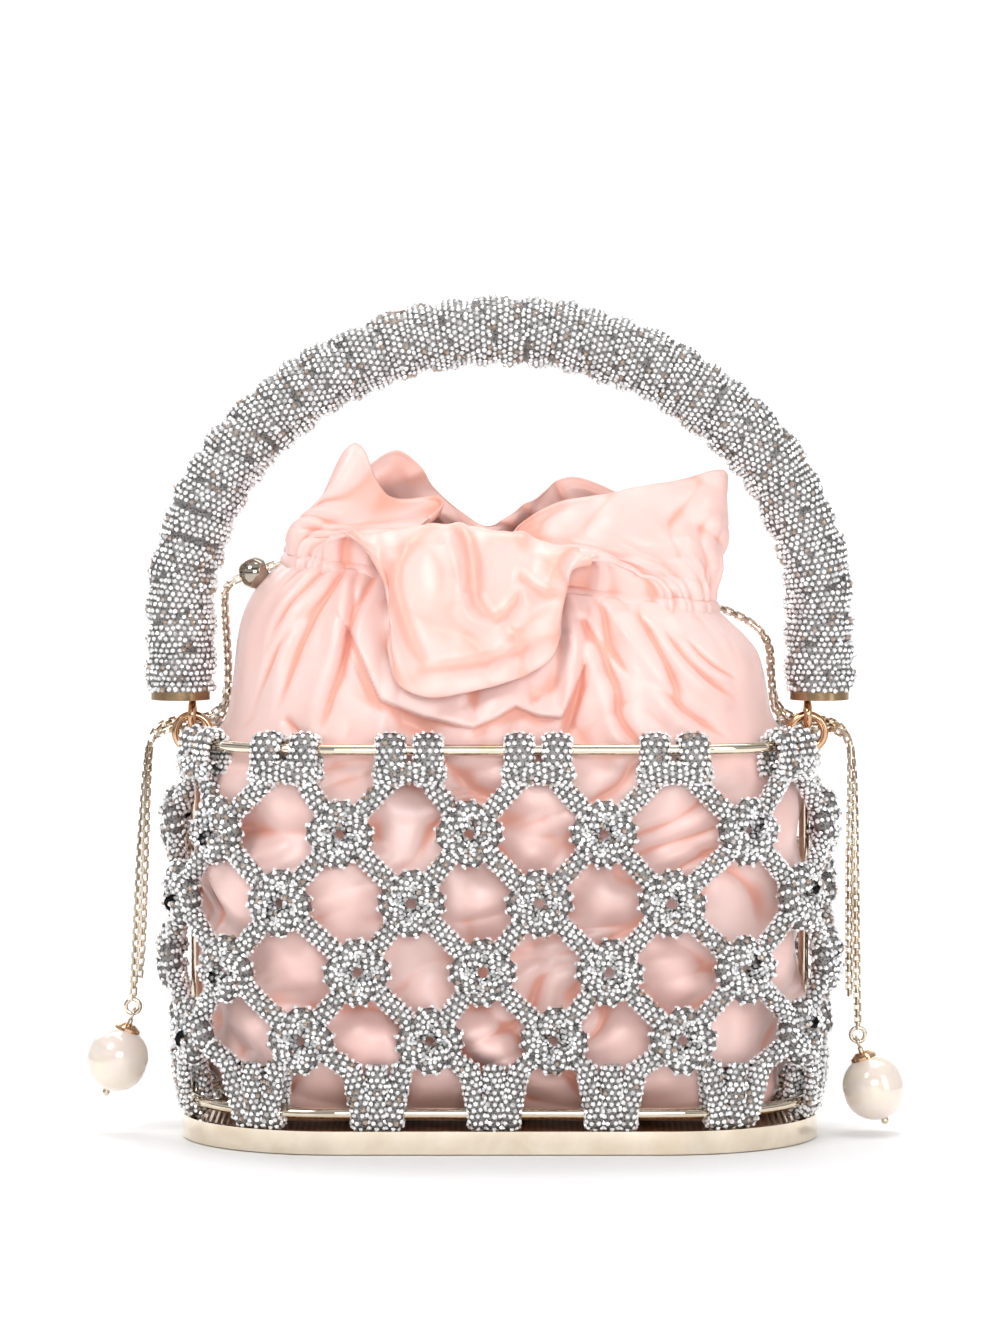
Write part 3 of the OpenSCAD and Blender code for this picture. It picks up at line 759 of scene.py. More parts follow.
@dataclass
class Studio:
    """Pale floor, soft lights and the camera.

    Attributes:
        palette: the finishes.
        camera_at: where the camera stands, in metres.
        lens: its focal length in mm.
        sensor: the height of its sensor in mm.
        pitch: how far it looks down, in degrees.
        floor_z: the height of the floor, in metres.
        sky_strength: how bright the sky is.
        sky: its colours by height, from straight down to straight up.
        lamps: each softbox's name, place, size, power and aim.
    """

    palette: Palette
    camera_at: tuple = (0.0, -1.47, 0.207)
    lens: float = 149.0
    sensor: float = 36.0
    pitch: float = 3.2
    floor_z: float = -0.0003
    sky_strength: float = 0.56
    sky: tuple = (
        (0.0, (0.75, 0.74, 0.73)), (0.015, (0.12, 0.085, 0.06)), (0.06, (0.10, 0.07, 0.05)),
        (0.12, (0.95, 0.95, 0.95)), (0.42, (0.95, 0.96, 1.0)), (0.50, (0.22, 0.20, 0.19)),
        (0.58, (0.25, 0.22, 0.21)), (0.66, (1.0, 1.0, 1.0)),
    )
    lamps: tuple = (
        ("key", (-0.75, -1.0, 1.15), (0.5, 0.5), 8, (0.0, 0.0, 0.11)),
        ("front", (0.2, -1.75, 0.5), (0.7, 0.5), 8, (0.0, 0.0, 0.11)),
        ("fill", (1.0, -0.9, 0.5), (0.4, 0.9), 3.5, (0.0, 0.0, 0.11)),
        ("top", (0.1, 0.1, 1.5), (1.0, 0.7), 6.5, (0.0, 0.0, 0.11)),
        ("rim", (-0.6, 1.0, 0.9), (1.0, 0.6), 4, (0.0, 0.0, 0.11)),
        ("sweep", (0.0, 0.5, 1.7), (2.0, 0.8), 26, (0.0, 2.0, 0.7)),
    )

    def camera(self) -> None:
        """Places the camera."""
        data = bpy.data.cameras.new("camera")
        data.sensor_fit = "VERTICAL"
        data.sensor_height = self.sensor
        data.lens = self.lens
        camera = bpy.data.objects.new("camera", data)
        camera.location = self.camera_at
        camera.rotation_euler = (math.radians(90 - self.pitch), 0, 0)
        bpy.context.scene.collection.objects.link(camera)
        bpy.context.scene.camera = camera

    def floor(self) -> None:
        """Makes the floor, curved up far behind."""
        profile = [(-3.0, 0.0), (1.2, 0.0)]
        turns = [math.radians(a) for a in range(0, 91, 6)]
        profile += [(1.2 + 0.8 * math.sin(a), 0.8 - 0.8 * math.cos(a)) for a in turns[1:]] + [(2.0, 4.0)]
        rows = np.array([[x, y, z + self.floor_z] for y, z in profile for x in np.linspace(-4, 4, 9)]) / MM
        sheets = Sheets()
        sheets.add(rows, grid_faces(len(profile), 9, False), 0, True)
        floor = sheets.make("floor", [self.palette.of(PaleFloor())])
        LOG.info("floor laid")

    def light(self, name: str, at: tuple, size: tuple, power: float, aim: tuple) -> None:
        """Adds a softbox.

        Args:
            name: its name.
            at: where it stands, in metres.
            size: its width and height.
            power: its power in watts.
            aim: what it points at.
        """
        data = bpy.data.lights.new(name, "AREA")
        data.shape = "RECTANGLE"
        data.size, data.size_y = size
        data.energy = power
        lamp = bpy.data.objects.new(name, data)
        lamp.location = at
        lamp.rotation_euler = (Vector(aim) - Vector(at)).to_track_quat("-Z", "Y").to_euler()
        bpy.context.scene.collection.objects.link(lamp)

    def build(self) -> None:
        """Makes the floor, the sky and the lights."""
        self.floor()
        world = bpy.data.worlds.new("studio")
        graph = Graph(world)
        height = graph.node("ShaderNodeSeparateXYZ", None, {0: graph.node("ShaderNodeTexCoord")}, output=2)
        ramp = graph.node("ShaderNodeValToRGB", {"stops": self.sky}, {0: height})
        glow = graph.node("ShaderNodeBackground", None, {0: ramp, 1: self.sky_strength})
        graph.close("ShaderNodeOutputWorld", glow)
        bpy.context.scene.world = world
        bpy.context.scene.view_settings.view_transform = "Standard"
        for lamp in self.lamps:
            self.light(*lamp)


# ------------------------------------------------------------ chains


@dataclass(frozen=True)
class Strand:
    """One strand of chain.

    Attributes:
        node: the CAD node it replaces.
        rider: the body it hangs on.
        route: its points, in mm.
        far_end: what it ends in; not used.
        pieces: the separate pieces at that end; not used.
    """

    node: str
    rider: Rider
    route: tuple
    far_end: str = "object"
    pieces: tuple = ()


STRANDS = (
    Strand("chain_left_upper_front", Rider.FRAME, (
        (-59.4, -1.1, 152.4), (-63.6, -1.1, 150.8), (-68, -1.1, 149), (-71.4, -1, 147.4), (-73.2, 0, 144.6),
        (-73.4, 1.6, 139), (-73, 3.2, 131), (-72.8, 4.2, 122), (-73.6, 4.4, 113.8), (-77.2, 4.4, 109.4),
        (-82, 4.4, 108.5), (-88, 4, 108.2), (-92, 2.8, 106.6))),
    Strand("chain_left_upper_back", Rider.FRAME, (
        (-59.4, 1.1, 152.4), (-63.6, 1.1, 150.8), (-68, 1.1, 149), (-71.4, 1.2, 147.4), (-73.2, 2.4, 144.6),
        (-73.4, 4, 139), (-73, 5.8, 131), (-72.8, 7, 122), (-74.2, 6.8, 115), (-77.6, 5.7, 111.6),
        (-82, 5.4, 111), (-88.4, 1.9, 110.1), (-91.6, -0.6, 108), (-92.6, -1.4, 105.8))),
    Strand("chain_right_upper_front", Rider.FRAME, (
        (59.4, -1.1, 140.4), (62.6, -1.1, 139), (66.4, -0.9, 137), (69.8, 0, 134), (72, 1.8, 129.6),
        (72.6, 3.6, 122), (73.6, 5, 113.8), (77.2, 5, 109.4), (82, 5, 108.5), (88, 4.2, 108.2),
        (92, 2.8, 106.6))),
    Strand("chain_right_upper_back", Rider.FRAME, (
        (59.4, 1.1, 140.4), (62.6, 1.1, 139), (66.4, 1.3, 137), (69.8, 2.4, 134), (72, 4.2, 129.6),
        (72.6, 6.2, 122), (74, 6.6, 115), (77.6, 5.6, 111.6), (82, 5.4, 111), (88.4, 1.9, 110.1),
        (91.6, -0.6, 108), (92.6, -1.4, 105.8))),
    Strand("chain_left_outer", Rider.LEFT_CHAIN, (
        (-93.6, 2.2, 104), (-94.6, 1.8, 96), (-95.4, 1.4, 86), (-96.2, 1, 75), (-96.8, 0.6, 64),
        (-97.4, 0.3, 52), (-97.9, 0, 42), (-98.2, 0, 36.4)),
        "fitting", ("chain_end_left", "pearl_pin_left", "pearl_left", "bead_cap_left")),
    Strand("chain_left_inner", Rider.LEFT_CHAIN, (
        (-93.6, -1.8, 103), (-94, -2.2, 95), (-94.4, -2.4, 84), (-94.8, -2.4, 72), (-95.2, -2.4, 60),
        (-95.7, -2.3, 50), (-96.3, -2.1, 43))),
    Strand("chain_right_outer", Rider.RIGHT_CHAIN, (
        (93.6, 2.2, 104), (94.4, 1.8, 96), (94.8, 1.4, 86), (95, 1, 75), (95.2, 0.6, 63),
        (95.4, 0.3, 50), (95.6, 0, 39), (95.8, 0, 28.8)),
        "fitting", ("chain_end_right", "pearl_pin_right", "pearl_right", "bead_cap_right")),
    Strand("chain_right_inner", Rider.RIGHT_CHAIN, (
        (93.6, -1.8, 103), (93.6, -2.2, 95), (93.4, -2.4, 84), (93.2, -2.4, 72), (93.2, -2.4, 60),
        (93.2, -2.3, 48), (93.4, -2.1, 38))),
)


@dataclass
class BoxChain:
    """Drawstrings of square links.

    Attributes:
        palette: the finishes.
        link_pitch: the distance between links in mm.
        half_width: half a link's outer width.
        half_window: half its opening.
        half_depth: half the thickness of its wire.
        edge: how far its outer edges are rounded, in mm.
        diameter: the chain's own size in mm; not used.
    """

    palette: Palette
    link_pitch: float = 1.62
    half_width: float = 1.10
    half_window: float = 0.50
    half_depth: float = 0.44
    edge: float = 0.16
    diameter: float = 2.0

    def link(self) -> tuple[np.ndarray, np.ndarray]:
        """Returns the points and quads of one link, rounded at its outer edges."""
        corners = np.array([[1, 1], [1, -1], [-1, -1], [-1, 1]], float)
        window, width, flat = self.half_window, self.half_width, self.half_width - self.edge
        outline = ((window, -0.75), (flat, -1.0), (width, -0.55), (width, 0.55), (flat, 1.0), (window, 0.75))
        rings = [np.column_stack([corners * half, np.full(4, up * self.half_depth)]) for half, up in outline]
        points = np.concatenate(rings)
        faces = []
        for ring in range(6):
            after = (ring + 1) % 6
            for j in range(4):
                k = (j + 1) % 4
                faces.append([ring * 4 + j, ring * 4 + k, after * 4 + k, after * 4 + j])
        return points, np.array(faces)

    def build(self) -> None:
        """Makes every strand and hangs it on its body in place of its CAD node."""
        points, faces = self.link()
        for strand in STRANDS:
            route = np.array(strand.route, float)
            line = curve(route, max(8, round(length_of(curve(route, 60)) / self.link_pitch) + 1))
            along = unit(np.gradient(line, axis=0))
            u = unit(np.cross(along, [0.35, 1.0, 0.2]))
            v = np.cross(along, u)
            sheets = Sheets()
            for i, at in enumerate(line):
                a, b = (u[i], v[i]) if i % 2 else (v[i], -u[i])
                here = at + points[:, :1] * along[i] + points[:, 1:2] * a + points[:, 2:] * b
                sheets.add(here, faces, 0, False)
            piece = sheets.make(strand.node + "_links", [self.palette.of(CHAIN_GOLD)])
            attach(piece, strand.rider, Slot.GOLD, strand.node)
            path = curve(route, 40) * MM


# ------------------------------------------------------------ the net


@dataclass
class Net:
    """The knotted net of stone cord. Sizes are in mm, and a pair of halves is wide and thick.

    Attributes:
        palette: the finishes.
        cage: what it follows.
        strand_half: half a strand's size.
        tie_reach: how far from a knot's middle a strand starts.
        hitch_tie: how far round from its middle, out and up a hitch lets go of a strand.
        wrap_tie: the same for a wrap.
        knot_half: half the size of a knot's cord.
        knot_reach: how far a knot's lobes reach from its middle.
        knot_core: how far from a knot's middle a lobe starts and ends.
        knot_tuck: how far a lobe's end lies under the next.
        lobe_angle: half the angle that a lobe takes, in degrees.
        ear_half: half the size of a hitch's ears.
        ear_offset: how far each ear sits from the hitch's middle.
        ear_loop: how far from the middle of the upper ring it passes.
        ear_front: how far out and how high its front end runs.
        ear_back: the same at its back end.
        ear_lean: how far the two ends spread, from front to back.
        bar_half: half the size of the bar across a hitch's front.
        bar_reach: half the bar's length.
        bar_at: how far out and how high it lies.
        wrap_half: half the size of a wrap's turns.
        wrap_step: the distance between turns.
        wrap_fan: how far the outer turns lean, in degrees.
        wrap_loop: how far from the middle of the lower ring they pass.
        wrap_front: how far out and how high a turn's front end runs.
        wrap_back: the same at its back end.
    """

    palette: Palette
    cage: Cage
    strand_half: tuple = (2.6, 2.5)
    tie_reach: float = 6.2
    hitch_tie: tuple = (5.0, 40.2, 97.4)
    wrap_tie: tuple = (6.0, 41.8, 21.6)
    knot_half: tuple = (2.9, 2.7)
    knot_reach: float = 6.5
    knot_core: float = 3.1
    knot_tuck: float = 1.6
    lobe_angle: float = 52.0
    ear_half: tuple = (3.9, 1.6)
    ear_offset: float = 4.9
    ear_loop: float = 3.15
    ear_front: tuple = ((2.6, 97.2), (3.5, 101.0))
    ear_back: tuple = ((-3.3, 101.0), (-2.0, 97.6))
    ear_lean: tuple = (0.4, 0.0, 0.4, 0.9)
    bar_half: tuple = (2.9, 2.6)
    bar_reach: float = 8.2
    bar_at: tuple = (3.5, 99.6)
    wrap_half: tuple = (2.7, 1.75)
    wrap_step: float = 4.2
    wrap_fan: float = 11.0
    wrap_loop: float = 2.9
    wrap_front: tuple = ((4.4, 23.0), (3.9, 17.0))
    wrap_back: tuple = ((-1.6, 16.0), (-0.2, 21.5))

    def finish(self, sheets: Sheets, name: str, node: str) -> None:
        """Makes one piece of the net."""
        piece = sheets.make(name, [self.palette.of(MESH), self.palette.of(STONE)])
        attach(piece, Rider.FRAME, Slot.CRYSTAL_MESH, node)

    def anchor(self, row: int, k: int, side: int) -> np.ndarray:
        """Returns where a strand meets a hitch (row 0), knot or wrap (row 5), as (s, r, z)."""
        s = self.cage.knot_s(row, k)
        if row in (0, 5):
            off, r, z = self.wrap_tie if row else self.hitch_tie
            return np.array([s + side * off, r, z])
        return np.array([s, self.cage.knot_r(row) - 0.6, self.cage.knot_z(row)])

    def strands(self, row: int) -> None:
        """Makes the course of diagonal strands under a row."""
        cord = StoneCord(setter=StoneSetter(seed=20 + row))
        sheets = Sheets()
        for k in range(self.cage.columns):
            for side in (-1, 1):
                below = (k if row % 2 == 0 else k - 1) + (1 if side > 0 else 0)
                a, b = self.anchor(row, k, side), self.anchor(row + 1, below, -side)
                span = float(np.linalg.norm(b - a))
                first = self.tie_reach / span if 1 <= row <= 4 else 0.0
                last = 1 - (self.tie_reach / span if 1 <= row + 1 <= 4 else 0.0)
                t = np.linspace(first, last, 7)[:, None]
                way = a + (b - a) * t
                route = self.cage.place(way[:, 0], way[:, 1], way[:, 2])
                cord.lay(sheets, route, self.cage.tangent(way[:, 0]), *self.strand_half)
        self.finish(sheets, f"mesh_strands_{row + 1}", f"net_strands_{row + 1}")

    def knots(self, row: int) -> None:
        """Makes a row of four-lobed knots, each lobe tucked under the next."""
        cord = StoneCord(setter=StoneSetter(seed=40 + row))
        sheets = Sheets()
        w = np.linspace(-1, 1, 9)
        reach = self.knot_core + (self.knot_reach - self.knot_core) * np.cos(w * math.pi / 2) ** 1.2
        depth = self.knot_tuck * w + 0.1
        for k in range(self.cage.columns):
            s = self.cage.knot_s(row, k)
            middle = self.cage.place(s, self.cage.knot_r(row), self.cage.knot_z(row))
            out, side, up = self.cage.outward(s), self.cage.tangent(s), np.array([0.0, 0.0, 1.0])
            spin = math.radians(4 * math.sin(2.1 * k + row))
            for quarter in range(4):
                angle = math.pi / 2 * quarter + spin + w * math.radians(self.lobe_angle)
                route = (
                    middle + np.outer(reach * np.cos(angle), side) + np.outer(reach * np.sin(angle), up)
                    + np.outer(depth, out)
                )
                cord.lay(sheets, route, out, *self.knot_half)
        self.finish(sheets, f"mesh_knots_{row}", f"knot_row_{row}")

    def over_ring(
        self, ring_z: float, reach: float, turn: np.ndarray, front: tuple, back: tuple
    ) -> np.ndarray:
        """Returns how far out and up cord lies that passes round a ring.

        Args:
            ring_z: the ring's height.
            reach: how far from the ring's middle it passes.
            turn: the angles round the ring, from its front to its back.
            front: the front end's places, counted out from the ring.
            back: the back end's.
        """
        loop = np.column_stack([self.cage.ring_r + reach * np.cos(turn), ring_z + reach * np.sin(turn)])
        ends = [np.array(end, float) + [self.cage.ring_r, 0] for end in (front, back)]
        return np.concatenate([ends[0], loop, ends[1]]).T

    def hitches(self) -> None:
        """Makes the hitches over the upper ring: two ears and a bar across their front."""
        cord = StoneCord(setter=StoneSetter(seed=61))
        sheets = Sheets()
        turn = np.radians(np.arange(-10, 191, 20))
        r, z = self.over_ring(self.cage.top_ring_z, self.ear_loop, turn, self.ear_front, self.ear_back)
        lean = np.concatenate([self.ear_lean[:2], 0 * turn, self.ear_lean[2:]])
        up = np.array([0.0, 0.0, 1.0])
        bar = np.linspace(-self.bar_reach, self.bar_reach, 7)
        dip = 1.1 * (np.abs(bar) / self.bar_reach) ** 3
        bar_r, bar_z = self.cage.ring_r + self.bar_at[0] - 1.6 * dip, self.bar_at[1] - dip
        for k in range(self.cage.columns):
            s = self.cage.knot_s(0, k)
            for side in (-1, 1):
                route = self.cage.place(s + side * self.ear_offset + lean * side, r, z)
                cord.lay(sheets, route, self.cage.tangent(s), *self.ear_half)
            cord.lay(sheets, self.cage.place(s + bar, bar_r, bar_z), up, *self.bar_half)
        self.finish(sheets, "mesh_hitches", "top_hitches")

    def wraps(self) -> None:
        """Makes the fans of three turns round the lower ring."""
        cord = StoneCord(setter=StoneSetter(seed=71))
        sheets = Sheets()
        ring_z = self.cage.low_ring_z
        turn = np.radians(np.arange(0, -181, -20))
        r, z = self.over_ring(ring_z, self.wrap_loop, turn, self.wrap_front, self.wrap_back)
        spread = self.wrap_step + np.tan(math.radians(self.wrap_fan)) * np.maximum(z - ring_z, 0)
        for k in range(self.cage.columns):
            s = self.cage.knot_s(5, k)
            for step in (-1, 0, 1):
                route = self.cage.place(s + step * spread, r, z)
                cord.lay(sheets, route, self.cage.tangent(s), *self.wrap_half)
        self.finish(sheets, "mesh_wraps", "bottom_wraps")

    def build(self) -> None:
        """Makes the whole net."""
        for row in range(5):
            self.strands(row)
        for row in range(1, 5):
            self.knots(row)
        self.hitches()
        self.wraps()


# ------------------------------------------------------------ the handle


@dataclass
class RibbonHandle:
    """The arched handle, wound with stone ribbon. Sizes are in mm.

    Attributes:
        palette: the finishes.
        radius: the wound handle's radius.
        turn_pitch: how far along one turn of ribbon goes.
        step: how high the edge of a turn stands.
        stone_pitch: the distance between stones.
        sides: how many sides the skin has.
        row_gap: the distance between its rows.
        crown_r: the radius of the crown, at the middle of the tube.
        crown_z: the height of its centre.
        shoulder_r: the radius of each shoulder.
        shoulder: where the right shoulder's centre lies, across and up.
        shoulder_angle: where the crown meets it, in degrees above level.
        foot_z: the height of the feet.
        reach: the length from foot to foot, once the centre line is known.
    """

    palette: Palette
    radius: float = 8.8
    turn_pitch: float = 8.6
    step: float = 1.35
    stone_pitch: float = 1.70
    sides: int = 96
    row_gap: float = 0.45
    crown_r: float = 92.0
    crown_z: float = 122.4
    shoulder_r: float = 71.44
    shoulder: tuple = (13.76, 137.68)
    shoulder_angle: float = 48.0
    foot_z: float = 118.6
    reach: float = 0.0

    def axis(self) -> np.ndarray:
        """Returns the handle's centre line from the right foot to the left, closely spaced."""
        leg_x = self.shoulder[0] + self.shoulder_r
        leg = [[leg_x, 0, z] for z in np.linspace(self.foot_z, self.shoulder[1], 12)[:-1]]
        half = leg
        for (x, z), radius, angles in (
            (self.shoulder, self.shoulder_r, np.linspace(0, self.shoulder_angle, 40)[:-1]),
            ((0.0, self.crown_z), self.crown_r, np.linspace(self.shoulder_angle, 90, 40)),
        ):
            half += [[x + radius * math.cos(a), 0, z + radius * math.sin(a)] for a in np.radians(angles)]
        half = np.array(half)
        return np.concatenate([half, half[::-1][1:] * [-1, 1, 1]])

    def skin(
        self, line: np.ndarray, along: np.ndarray, distance: np.ndarray, turns: np.ndarray
    ) -> tuple[np.ndarray, np.ndarray, np.ndarray]:
        """Returns the surface round the line.

        Args:
            line: centre points.
            along: the way along at each.
            distance: how far along each lies, in mm.
            turns: angles round the tube, one row for each point.

        Returns:
            The surface points, the ways out, and how far across its turn of ribbon each point lies.
        """
        u = np.broadcast_to(np.array([0.0, 1.0, 0.0]), line.shape)
        v = np.cross(along, u)
        d = distance[:, None]
        phase = d / self.turn_pitch - turns / (2 * math.pi)
        phase = phase + 0.22 * np.sin(d / 17) + 0.16 * np.sin(d / 6.1 + turns)
        share = phase - np.floor(phase)
        lift = self.step * (np.sin(math.pi * share**1.25) ** 0.7 - 0.75) + 0.35 * (share - 0.5)
        fold = 0.2 * np.sin(turns * 3 + d / 5.3) + 0.2 * np.sin(turns * 5 - d / 3.7)
        foot = np.minimum(d, self.reach - d)
        radius = self.radius + lift + fold + 0.15 * np.exp(-((foot / 4.5) ** 2))
        out = u[:, None] * np.cos(turns)[..., None] + v[:, None] * np.sin(turns)[..., None]
        return line[:, None] + out * radius[..., None], out, share

    def build(self) -> None:
        """Makes the three lengths of ribbon."""
        axis = self.axis()
        total = self.reach = length_of(axis)
        reach = np.concatenate([[0], np.cumsum(np.linalg.norm(np.diff(axis, axis=0), axis=1))])
        shoulder = (self.shoulder[1] - self.foot_z) + math.radians(self.shoulder_angle) * self.shoulder_r
        ends = (0.0, shoulder, total - shoulder, total)
        for seed, name in enumerate(("right", "crown", "left")):
            low, high = ends[seed : seed + 2]
            sheets = Sheets()
            rows = round((high - low) / self.row_gap)
            distance = np.linspace(low, high, rows)
            line, along = self._at(axis, reach, distance)
            turns = np.broadcast_to(np.arange(self.sides) * 2 * math.pi / self.sides, (rows, self.sides))
            points, _, _ = self.skin(line, along, distance, turns)
            sheets.add(points.reshape(-1, 3), grid_faces(rows, self.sides), 0, True)
            rows = round((high - low) / (self.stone_pitch * 0.87))
            distance = np.linspace(low + 0.6, high - 0.6, rows)
            line, along = self._at(axis, reach, distance)
            around = round(2 * math.pi * self.radius / self.stone_pitch)
            turns = (np.arange(around)[None] + 0.5 * (np.arange(rows) % 2)[:, None]) * 2 * math.pi / around
            points, out, share = self.skin(line, along, distance, turns)
            kept = (share > 0.035) & (share < 0.985)
            tilt = unit(out - along[:, None] * 0.12)
            StoneSetter(seed=80 + seed).set(sheets, (points + out * 0.12)[kept], tilt[kept])
            piece = sheets.make(f"ribbon_{name}", [self.palette.of(MESH), self.palette.of(STONE)])
            nodes = [f"handle_wrap_{name}"] + (["handle_core"] if name == "crown" else [])
            attach(piece, Rider.HANDLE, Slot.CRYSTAL_MESH, *nodes)

    @staticmethod
    def _at(axis: np.ndarray, reach: np.ndarray, distance: np.ndarray) -> tuple[np.ndarray, np.ndarray]:
        """Returns the points of the axis at these distances, and the way along there."""
        line = np.stack([np.interp(distance, reach, axis[:, k]) for k in range(3)], -1)
        return line, unit(np.gradient(line, axis=0))


# ------------------------------------------------------------ the pouch


@dataclass(frozen=True)
class Petal:
    """One place round the pouch's neck, and the hem above or in front of it.

    Attributes:
        turn: the angle round the neck in degrees, 0 at the right end and 270 at the front.
        hem: the hem's point in mm.
        rise: how far the cloth goes up and out before it turns, in mm, at the neck's end.
        fall: where it comes from at the hem's end, as (out, up) in mm.
    """

    turn: float
    hem: tuple
    rise: float
    fall: tuple


PETALS = (
    Petal(0, (58.0, 1, 172.0), 12, (3, -12)),
    Petal(25, (50, 9, 171.0), 12, (1, -12)),
    Petal(50, (35, 10, 170.0), 12, (-3, -8)),
    Petal(68, (19, 8, 175.6), 12, (-3, -10)),
    Petal(84, (8, 7, 169.0), 10, (-3, -8)),
    Petal(98, (-4, 6, 162.6), 8, (-2, -6)),
    Petal(114, (-17, 6, 172.5), 12, (-3, -10)),
    Petal(130, (-27.5, 4, 182.8), 14, (-3, -14)),
    Petal(150, (-40, 6, 174.0), 12, (0, -12)),
    Petal(172, (-51, 3, 160.0), 6, (2, -5)),
    Petal(190, (-50, -6, 166.0), 8, (5, -10)),
    Petal(203, (-38.5, -8, 184.4), 14, (10, -20)),
    Petal(216, (-29.5, -9, 171.0), 12, (7, -12)),
    Petal(226, (-15.5, -13, 170.0), 10, (5, -10)),
    Petal(235, (-24, -23, 157.5), 10, (4, 3)),
    Petal(243, (-28.0, -33, 141.0), 17, (6, 12)),
    Petal(251, (-27.5, -38.0, 125.5), 26, (6, 20)),
    Petal(258, (-20, -40.0, 119.5), 31, (5, 24)),
    Petal(266, (-7, -40.0, 120.5), 32, (5, 24)),
    Petal(274, (6, -39.0, 124.5), 30, (5, 22)),
    Petal(281, (15, -37.0, 131.0), 25, (5, 18)),
    Petal(288, (14.5, -31.0, 146.0), 12, (4, 10)),
    Petal(295, (10.5, -25.0, 155.0), 10, (4, 4)),
    Petal(303, (4, -14.0, 161.5), 9, (2, -5)),
    Petal(312, (14, -12, 168.8), 12, (6, -14)),
    Petal(324, (27, -13, 171.2), 12, (9, -16)),
    Petal(338, (43, -11, 174.0), 13, (9, -16)),
    Petal(350, (57.8, -6, 177.4), 14, (7, -16)),
)

CREASES = (
    (-46, 150, -67, 127, 1.6, 1.5), (-42, 148, -60, 117, 1.9, 1.7), (-38, 146, -47, 112, 2.2, 1.6),
    (-33, 146, -41, 122, 1.6, 1.3), (-50, 139, -70, 116, 1.3, 1.4), (-52, 150, -70, 138, 1.2, 1.2),
    (20, 142, 31, 119, 2.4, 1.7), (30, 119, 37, 106, 1.6, 1.4), (27, 143, 33, 127, 1.5, 1.2),
    (37, 142, 48, 118, 2.1, 1.8), (45, 139, 64, 121, 1.8, 1.6), (52, 137, 68, 126, 1.3, 1.3),
    (22, 140, 17, 108, 2.1, 1.5), (41, 124, 62, 108, 1.2, 1.6), (-58, 112, -44, 106, 1.2, 1.6),
)


SCROLL = (
    (-11, 163, -7, 147, 2.6, 2.0), (-7, 147, -1, 139.5, 2.0, 1.5), (-1, 139.5, 5, 149, 1.8, 1.4),
    (5, 151, 15, 146, 1.3, 1.5), (-27, 152, -20, 129, 1.6, 1.8), (-18, 127, 12, 135, 1.1, 1.4),
)


